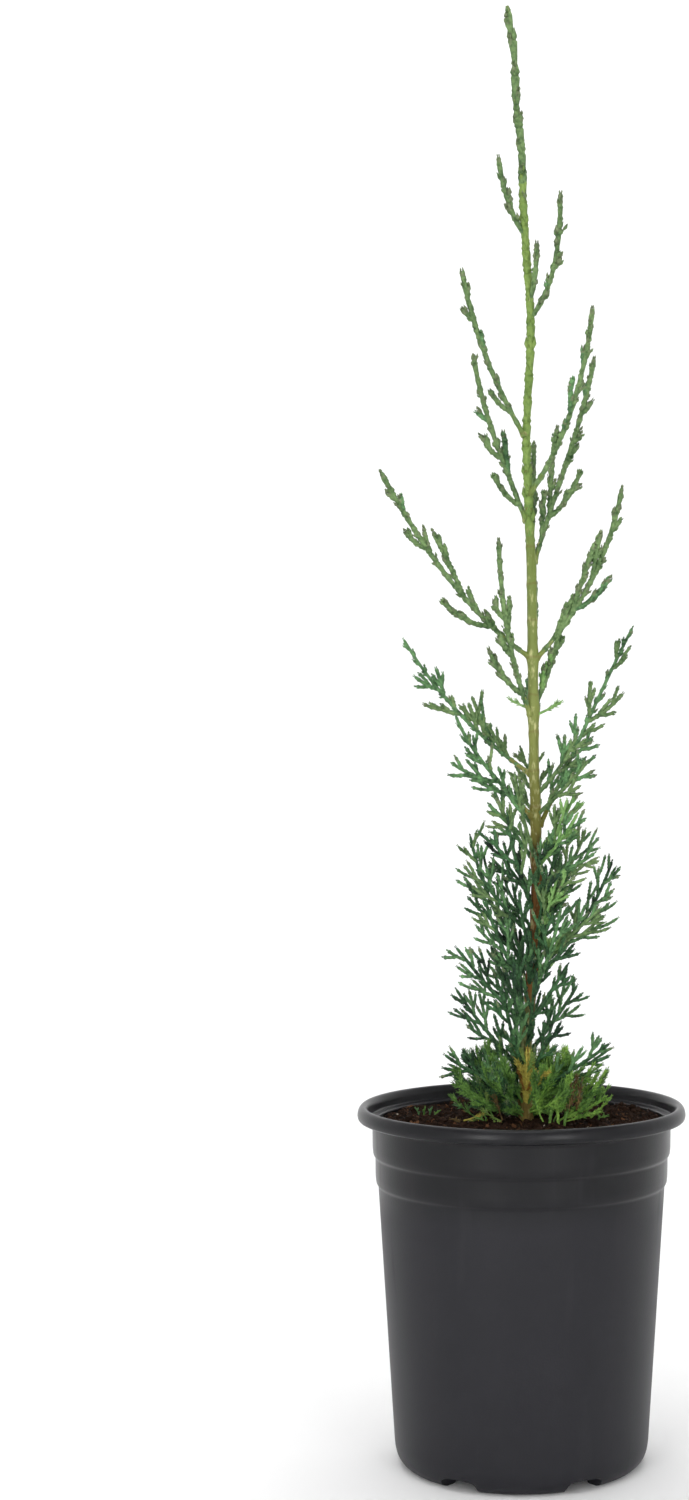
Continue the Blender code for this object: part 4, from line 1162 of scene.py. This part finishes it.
def twigs_of(spray):
    """The finest twigs, between the forks and along the longer forks."""
    habit = spray.habit
    habit = habit._replace(spread=habit.twig_spread, roll=habit.twig_roll, bend=0.7, inner=1.0)
    axes = [(shoot, 0.16 * shoot.length) for shoot in spray.shoots]
    axes.append((spray.axis, spray.leafy + 1.5 * MM))
    if spray.name in THINNED:
        axes = axes[-1:]
    for number, (axis, start) in enumerate(axes):
        pitch, longest = habit.twig_pitch * MM, habit.twig * MM
        if axis.limb:
            longest += habit.twig_share * axis.length
        elif axis is not spray.axis:
            if axis.length < (9.0 if spray.kind == "fan" else 4.0) * MM:
                continue
            start, pitch = 0.35 * axis.length, pitch * 1.25
        for found in shoots_on(axis.path, start, pitch, longest, habit, spray.flat,
                               f"{spray.name} twig {number}", 0.5):
            near = [d for d, side in axis.borne if side == found[1]]
            if all(abs(d - found[0]) > pitch * 1.1 for d in near):
                yield axis, *found


ORDERS = (limbs_of, forks_of, twigs_of)

# How thick limbs, forks and twigs are drawn, in mm, and how much more a fan's are, by height.
GIRTHS = {"spur": (1.08, 1.02, 1.0), "plume": (1.0, 0.86, 0.8), "fan": (0.68, 0.63, 0.6),
          "tuft": (0.46, 0.42, 0.36)}
FAN_SWELL = ((218, 262), (1.0, 1.2))
TONE_BY_HEIGHT = ((130, 165, 200, 235, 262), (0.6, 0.6, 1.0, 1.4, 1.7))  # 0 deep to 2 green


def limb_tone(spray, tip):
    """A limb's tone: one of its spray's own, or in a fan one that drifts from place to place."""
    own = spray.name in TONES or spray.name.startswith(("inner", "bright"))
    if spray.kind != "fan" or own:
        return spray.chance.choice(spray.tones)
    drift = 1.1 * noise.noise(tip / (13 * MM)) + spray.chance.gauss(0, 0.35)
    level = np.interp(tip.z / MM, *TONE_BY_HEIGHT)
    return ("deep", "sea", "green")[int(np.clip(level + drift + 0.5, 0, 2))]


def grow(grown, thicket, sources, clearance):
    """Each spray in turn sets its next shoot, order by order, where it keeps the clearance."""
    shortest = SHORTEST_TWIG if clearance < 0.5 else SHORTEST_SHOOT
    for source in sources:
        order = ORDERS.index(source)
        waiting = [(spray, source(spray)) for spray in grown]
        while waiting:
            still = []
            for spray, candidates in waiting:
                found = next(candidates, None)
                if found is None:
                    continue
                still.append((spray, candidates))
                axis, distance, side, path, bend = found
                if run_length(path) < shortest or not in_bounds(path) or before_trunk(path):
                    continue
                if thicket.clear(path, (clearance - spray.ease) * MM, spray.number):
                    thicket.add(path, clearance * MM, spray.number)
                    axis.borne.append((distance, side))
                    limb = source is limbs_of
                    tone = limb_tone(spray, path[-1]) if limb else axis.tone
                    thick = GIRTHS[spray.kind][order] * MM
                    if spray.kind == "fan":
                        thick *= np.interp(path[-1].z / MM, *FAN_SWELL)
                    spray.shoots.append(Shoot(path, bend, thick, tone, limb))
            waiting = still


BOUGHS = 1000  # added to a spray's number, so that its shoots keep clear of its own bough
thicket = Thicket(60000)
span = TRUNK_TOP - TRUNK_FOOT
line = [trunk_middle(TRUNK_FOOT + span * i / 60) for i in range(61)]
for low, high in zip(line, line[1:]):
    thicket.add([low, high], trunk_radius(low.z), -1)
for spray in sprays:
    spray.ease = 0.75 if spray.name.startswith(EASED) else 0.0
    spray.tones = tones_of(spray.branch)
    spray.chance = random.Random("tone " + spray.name)
    spray.axis = Shoot(spray.stem, None, 0.0, spray.tones[0])
named, filling = sprays[:len(BRANCHES)], []
for spray in named:
    if spray.branch.bare:
        bare = stretch(spray.stem, spray.root, spray.leafy, 4)
        thicket.add(bare, spray.radius(spray.root), BOUGHS + spray.number)
    leafy = stretch(spray.stem, spray.leafy, spray.total, 10)
    thicket.add(leafy, spray.radius(spray.leafy), spray.number)
grow(named, thicket, ORDERS[:2], clearance=0.6)
for spray in sprays[len(BRANCHES):]:
    leafy = stretch(spray.stem, spray.leafy + 2.5 * MM, spray.total, 10)
    if in_bounds(leafy[2:]) and thicket.clear(leafy, (0.3 - spray.ease) * MM, spray.number):
        thicket.add(leafy, 0.4 * MM, spray.number)
        filling.append(spray)
grow(filling, thicket, ORDERS[:2], clearance=0.25)
sprays = named + filling
grow(sprays, thicket, ORDERS[2:], clearance=0.25)

# The leaf tones, each as its light and its dark colour: greens from fresh to the deep
# blue-green of old sprays, dusky tips, and the gold, rust and straw of dying ones. The light
# end is partly painted highlight and the dark end partly painted shade, and the shadow tone
# paints shade on the inner sprays deep in the crown.
LEAF_TONES = {
    "lime": ((134, 158, 82), (94, 124, 58)),
    "fresh": ((146, 184, 112), (90, 136, 70)),
    "pale": ((164, 194, 134), (116, 156, 90)),
    "green": ((122, 150, 96), (52, 82, 44)),
    "sea": ((110, 156, 100), (24, 54, 29)),
    "shadow": ((54, 88, 60), (6, 18, 12)),
    "deep": ((72, 116, 72), (8, 24, 13)),
    "dusk": ((124, 138, 100), (76, 92, 62)),
    "meadow": ((156, 198, 92), (62, 108, 38)),
    "moss": ((126, 170, 82), (34, 72, 32)),
    "gold": ((214, 202, 96), (142, 128, 54)),
    "rust": ((182, 134, 58), (104, 70, 30)),
    "straw": ((132, 110, 66), (66, 50, 30)),
}


def leaf_material(tone, light, dark):
    """Waxy scale leaves, which go softly from one green to another: partly their own uneven
    colour, and partly painted highlights at the light end and painted shade at the dark end.
    """
    material, shader, place = start_material("leaf_" + tone, 0.5, Specular_IOR_Level=0.25)
    patch = grain(place, 130.0, 2.0)
    fine = grain(place, 750.0, 3.0)
    leaf_mottle_and_painted_light = above(patch * 0.45 + fine * 0.55, 0.34, 3.1)
    coat(shader, Base_Color=place.blend(leaf_mottle_and_painted_light, shade(*dark), shade(*light)),
         Roughness=0.5 + fine * 0.15)
    return material


def leaf_pair(name, length, width, out, spread):
    """Two keeled scale leaves that face each other across a shoot of radius 1."""
    made = bmesh.new()
    for side in (1, -1):
        base = made.verts.new((0.3 * side, 0, -0.3))
        inner = made.verts.new((0.15 * side, 0, length * 0.5))
        wings = [made.verts.new((0.55 * out * side, w * width, length * 0.42)) for w in (-1, 1)]
        keel = made.verts.new((out * side, 0, length * 0.5))
        tip = made.verts.new(((out * 0.6 + spread) * side, 0, length))
        for wing in wings:
            for ridge in (keel, inner):
                made.faces.new((base, wing, ridge))
                made.faces.new((tip, ridge, wing))
    return piece_from(name, made, plastic)


def clothing_tree():
    """Clothes shoots, given as lines with a girth, in a core and pairs of scale leaves."""
    tree, inputs, wire, take = start_tree("scale_leaved_shoots", {
        "Shoots": "Geometry", "Leaf Pair": "Object", "Leaf Step": "Float", "Core": "Float",
        "Seed": "Int", "Material": "Material"})
    girth = wire.node("GeometryNodeInputNamedAttribute", {"data_type": "FLOAT"},
                      {"Name": "girth"})
    lines = wire.node("GeometryNodeMeshToCurve", {}, {"Mesh": take["Shoots"]})
    ring = wire.node("GeometryNodeCurvePrimitiveCircle", {}, {"Resolution": 5, "Radius": 1.0})
    core = wire.node("GeometryNodeCurveToMesh", {}, {
        "Curve": lines, "Profile Curve": ring, "Scale": girth * take["Core"],
        "Fill Caps": True})
    stops = wire.node("GeometryNodeCurveToPoints", {"mode": "LENGTH"},
                      {"Curve": lines, "Length": take["Leaf Step"]})
    number = wire.node("GeometryNodeInputIndex", {}, {})
    jitter = wire.node("FunctionNodeRandomValue", {"data_type": "FLOAT"},
                       {2: -0.25, 3: 0.25, "Seed": take["Seed"]}, out=1)
    spin = wire.node("FunctionNodeAxisAngleToRotation", {},
                     {0: (0.0, 0.0, 1.0), 1: number * (math.pi / 2) + jitter})
    turn = wire.node("FunctionNodeRotateRotation", {"rotation_space": "LOCAL"},
                     {0: stops.other("Rotation"), 1: spin})
    size = wire.node("FunctionNodeRandomValue", {"data_type": "FLOAT"},
                     {2: 0.9, 3: 1.12, "Seed": take["Seed"]}, out=1)
    pair = wire.node("GeometryNodeObjectInfo", {}, {"Object": take["Leaf Pair"]}, out=4)
    leaves = wire.node("GeometryNodeInstanceOnPoints", {}, {
        "Points": stops, "Instance": pair, "Rotation": turn, "Scale": girth * size})
    leaves = wire.node("GeometryNodeRealizeInstances", {}, {0: leaves})
    joined = wire.node("GeometryNodeJoinGeometry", {}, {0: leaves})
    wire.feed(joined.socket.node.inputs[0], core)
    smooth = wire.node("GeometryNodeSetShadeSmooth", {}, {0: joined})
    end_tree(wire, wire.node("GeometryNodeSetMaterial", {},
                             {0: smooth, "Material": take["Material"]}))
    return tree, inputs


clothing = clothing_tree()
scale_pair = leaf_pair("scale_pair", 2.6, 0.85, 1.16, 0.0)
stem_pair = leaf_pair("stem_pair", 2.8, 0.8, 1.12, 0.12)
feather_pair = leaf_pair("feather_pair", 5.2, 0.5, 1.2, 1.2)


class Strands:
    """The lines of every shoot that one piece will hold, and the nodes that they stand for."""

    def __init__(self):
        self.places, self.girths, self.links, self.nodes = [], [], [], set()

    def add(self, places, girths, node):
        first = len(self.places)
        self.places += places
        self.girths += girths
        self.links += [(k, k + 1) for k in range(first, len(self.places) - 1)]
        self.nodes.add(node)


bundles = {}


def lay(kind, tone, places, girths, node):
    bundles.setdefault((kind, tone), Strands()).add(places, girths, node)


def jointed(distance, period):
    """How a shoot swells towards each joint and narrows after it."""
    share = (distance / period) % 1.0
    return 0.84 + 0.34 * share**2


def lay_shoot(spray, shoot, chance):
    """Lays a shoot in the bundle of its tone, and its blunt tip in the dusky one."""
    kind = "feather" if spray.kind == "tuft" else "scale"
    count = max(3, round(shoot.length / (0.8 * MM)))
    thick = shoot.thick * chance.uniform(0.92, 1.08)
    trimmed = 1 - min(0.25, (1.5 if kind == "feather" else 1.0) * thick / shoot.length)
    offset = chance.uniform(0, 4)
    places = [bent(shoot.bend, trimmed * i / count) for i in range(count + 1)]
    girths = [thick * (1 - 0.08 * i / count) for i in range(count + 1)]
    if spray.upper:
        girths = [girth * jointed(shoot.length * i / count / MM + offset, 4.4)
                  for i, girth in enumerate(girths)]
        girths[-2] = thick * 1.14
    girths[-1] = girths[-2] * (0.8 if kind == "feather" else 0.58)
    dusky = chance.random() < (0.7 if spray.upper else 0.2)
    if dusky and shoot.tone not in ("meadow", "moss", "gold", "pale"):
        keep = max(1, count - (2 if shoot.length > 3 * MM else 1))
        lay(kind, "dusk", places[keep:], girths[keep:], spray.node)
        places, girths = places[:keep + 1], girths[:keep + 1]
    if len(places) > 1:
        lay(kind, shoot.tone, places, girths, spray.node)


for spray in sprays:
    chance = random.Random("lay " + spray.name)
    start = spray.root + 0.2 * MM if spray.branch.bare else max(0.0, spray.root - ROOTED)
    count = round((spray.total - start) / (0.9 * MM))
    places = stretch(spray.stem, start, spray.total - 0.8 * MM, count)
    reach = spray.total - start
    slim = {"tuft": 0.66, "fan": 0.92}.get(spray.kind, 1.08)
    if not spray.node:
        slim *= 0.6 if spray.name.startswith("risen") else 0.85
    girths = [slim * spray.radius(start + reach * i / count) for i in range(count + 1)]
    if spray.upper:
        girths = [max(girth, 1.0 * MM) * jointed(reach * i / count / MM, 5.0)
                  for i, girth in enumerate(girths)]
        girths[-2] = girths[-3] * 1.12
    girths[-1] = girths[-2] * 0.62
    if spray.upper:
        lay("scale", "dusk", places[-3:], girths[-3:], spray.node)
        places, girths = places[:-2], girths[:-2]
    lay("stem", spray.tones[0], places, girths, spray.node)
    for shoot in spray.shoots:
        lay_shoot(spray, shoot, chance)

# The leader's own scale leaves, and the blunt buds and thorny tips at its joints.
LEADER_FOOT, LEADER_JOINT = 318.0, 8.6
LAST_JOINTS, LAST_JOINT = 469.4, 12.8  # where its last joints start, and how long each is
LEADER_TOP = TRUNK_TOP / MM
LEADER_STOUTNESS = (
    (318, 335, 351, 380, 420, 460, 508), (1.85, 1.72, 1.58, 1.68, 1.58, 1.48, 1.42))
levels = np.arange(LEADER_FOOT, LEADER_TOP - 3.4, 0.9)
leader = [trunk_middle(h * MM) for h in levels]


def leader_swell(height):
    """How the leader swells at each joint, most of all in its last few joints."""
    if height < LAST_JOINTS:
        return jointed(height - LEADER_FOOT, LEADER_JOINT)
    return 0.6 + 0.74 * ((height - LAST_JOINTS) / LAST_JOINT % 1.0) ** 1.7


girths = [np.interp(h, *LEADER_STOUTNESS) * MM * leader_swell(h) for h in levels]
girths[-1] *= 0.7
split = int(len(leader) * 0.68)
lay("stem", "lime", leader[:split + 1], girths[:split + 1], None)
lay("stem", "green", leader[split:], girths[split:], None)
bud_habit = HABITS["plume"]._replace(spread=24, bend=0.8, inner=1.0)
chance = random.Random("leader buds")
for k in range(1, int((LEADER_TOP - LEADER_FOOT) / LEADER_JOINT) + 1):
    level = LEADER_FOOT + LEADER_JOINT * k
    share = (level - LEADER_FOOT) / (LEADER_TOP - LEADER_FOOT)
    for side in (1, -1):
        length = chance.uniform(1.6, 2.4) + (2.6 * max(0.0, share - 0.5) / 0.5)
        if level + length > LEADER_TOP - 1 or chance.random() < 0.25:
            continue
        flat = outward(math.radians(137.5 * k + chance.uniform(-20, 20)))
        line = [trunk_middle((level - 1.5) * MM), trunk_middle((level + 6) * MM)]
        start = 1.5 * MM * chance.uniform(0.4, 1.6)
        _, bend = shoot_path(line, start, side * length * MM + side * 0.9 * MM, bud_habit,
                             flat, chance)
        places = [bent(bend, i / 5) for i in range(6)]
        girths = [(0.85 + 0.2 * share) * MM * (0.8 + 0.3 * i / 5) for i in range(6)]
        girths[-1] *= 0.75
        tone = "lime" if share < 0.68 else "green"
        lay("scale", tone, places[:4], girths[:4], None)
        lay("scale", "dusk" if share > 0.6 else tone, places[3:], girths[3:], None)

# Young shoots that stand by themselves in the soil near the foot, and fallen scraps: their
# place, how far they lean and rise in mm, their girth and their tone.
SEEDLINGS = (
    (9.6, -13.0, 0.8, 6.2, 0.62, "moss"), (12.6, -13.2, -0.6, 8.0, 0.64, "meadow"),
    (14.6, -13.2, 1.2, 6.4, 0.6, "moss"),
    (-36.0, 7.0, -1.2, 3.2, 0.36, "sea"), (-34.5, 8.0, 0.5, 4.0, 0.36, "moss"),
    (-32.5, 7.0, 1.0, 3.4, 0.4, "sea"), (-31.0, 6.0, 2.2, 2.8, 0.34, "moss"),
    (-21.0, -5.0, -3.4, 1.8, 0.42, "straw"), (-18.5, -7.0, 2.6, 2.2, 0.42, "lime"),
    (-15.5, -8.0, 3.2, 1.6, 0.42, "gold"), (-12.0, -11.0, -3.6, 2.4, 0.45, "moss"),
    (-24.0, -2.0, 3.0, 1.4, 0.4, "straw"), (26.0, -5.0, 3.6, 2.4, 0.45, "moss"),
    (30.0, 1.0, -3.0, 1.6, 0.4, "straw"), (-10.0, -14.0, 2.8, 1.5, 0.42, "lime"),
)
for x, y, lean, rise, girth, tone in SEEDLINGS:
    foot = Vector((x, y, soil_top(x, y) - 0.6)) * MM
    crook = foot + Vector((lean * 0.2, -0.3, rise * 0.65)) * MM
    line = (foot, crook, foot + Vector((lean, -1.0, rise)) * MM)
    lay("scale", tone, [bent(line, k / 7) for k in range(8)],
        [girth * (0.8 + 0.04 * k) * MM for k in range(7)] + [0.75 * girth * MM], None)
    for share, side in ((0.3, 1), (0.5, -1), (0.7, 1)) if girth < 0.6 else ():
        start = bent(line, share)
        twig = (start, start + Vector((side * 0.9, -0.4, 1.2)) * girth * MM,
                start + Vector((side * 1.1, -0.6, 2.6)) * girth * MM)
        lay("scale", tone, [bent(twig, k / 4) for k in range(5)],
            [0.75 * girth * MM] * 4 + [0.55 * girth * MM], None)

PAIRS = {"scale": (scale_pair, 1.25, 0.9), "stem": (stem_pair, 2.0, 0.93),
         "feather": (feather_pair, 0.9, 0.6)}
for (kind, tone), strands in sorted(bundles.items()):
    pair, step, core = PAIRS[kind]
    mesh = bpy.data.meshes.new("strands")
    mesh.from_pydata(strands.places, strands.links, [])
    mesh.attributes.new("girth", "FLOAT", "POINT").data.foreach_set("value", strands.girths)
    piece = put(f"leaves_{kind}_{tone}", mesh)
    material = bpy.data.materials.get("leaf_" + tone) or leaf_material(tone, *LEAF_TONES[tone])
    run_tree(piece, *clothing, {"Leaf Pair": pair, "Leaf Step": step * MM, "Core": core,
                                "Seed": 11, "Material": material})
    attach(piece, "root")
    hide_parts(*(n for n in sorted(filter(None, strands.nodes))))
for pair in (scale_pair, stem_pair, feather_pair):
    bpy.data.objects.remove(pair)

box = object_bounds()
[[list(map(float, corner)) for corner in ends] for ends in (packed_box, box)]
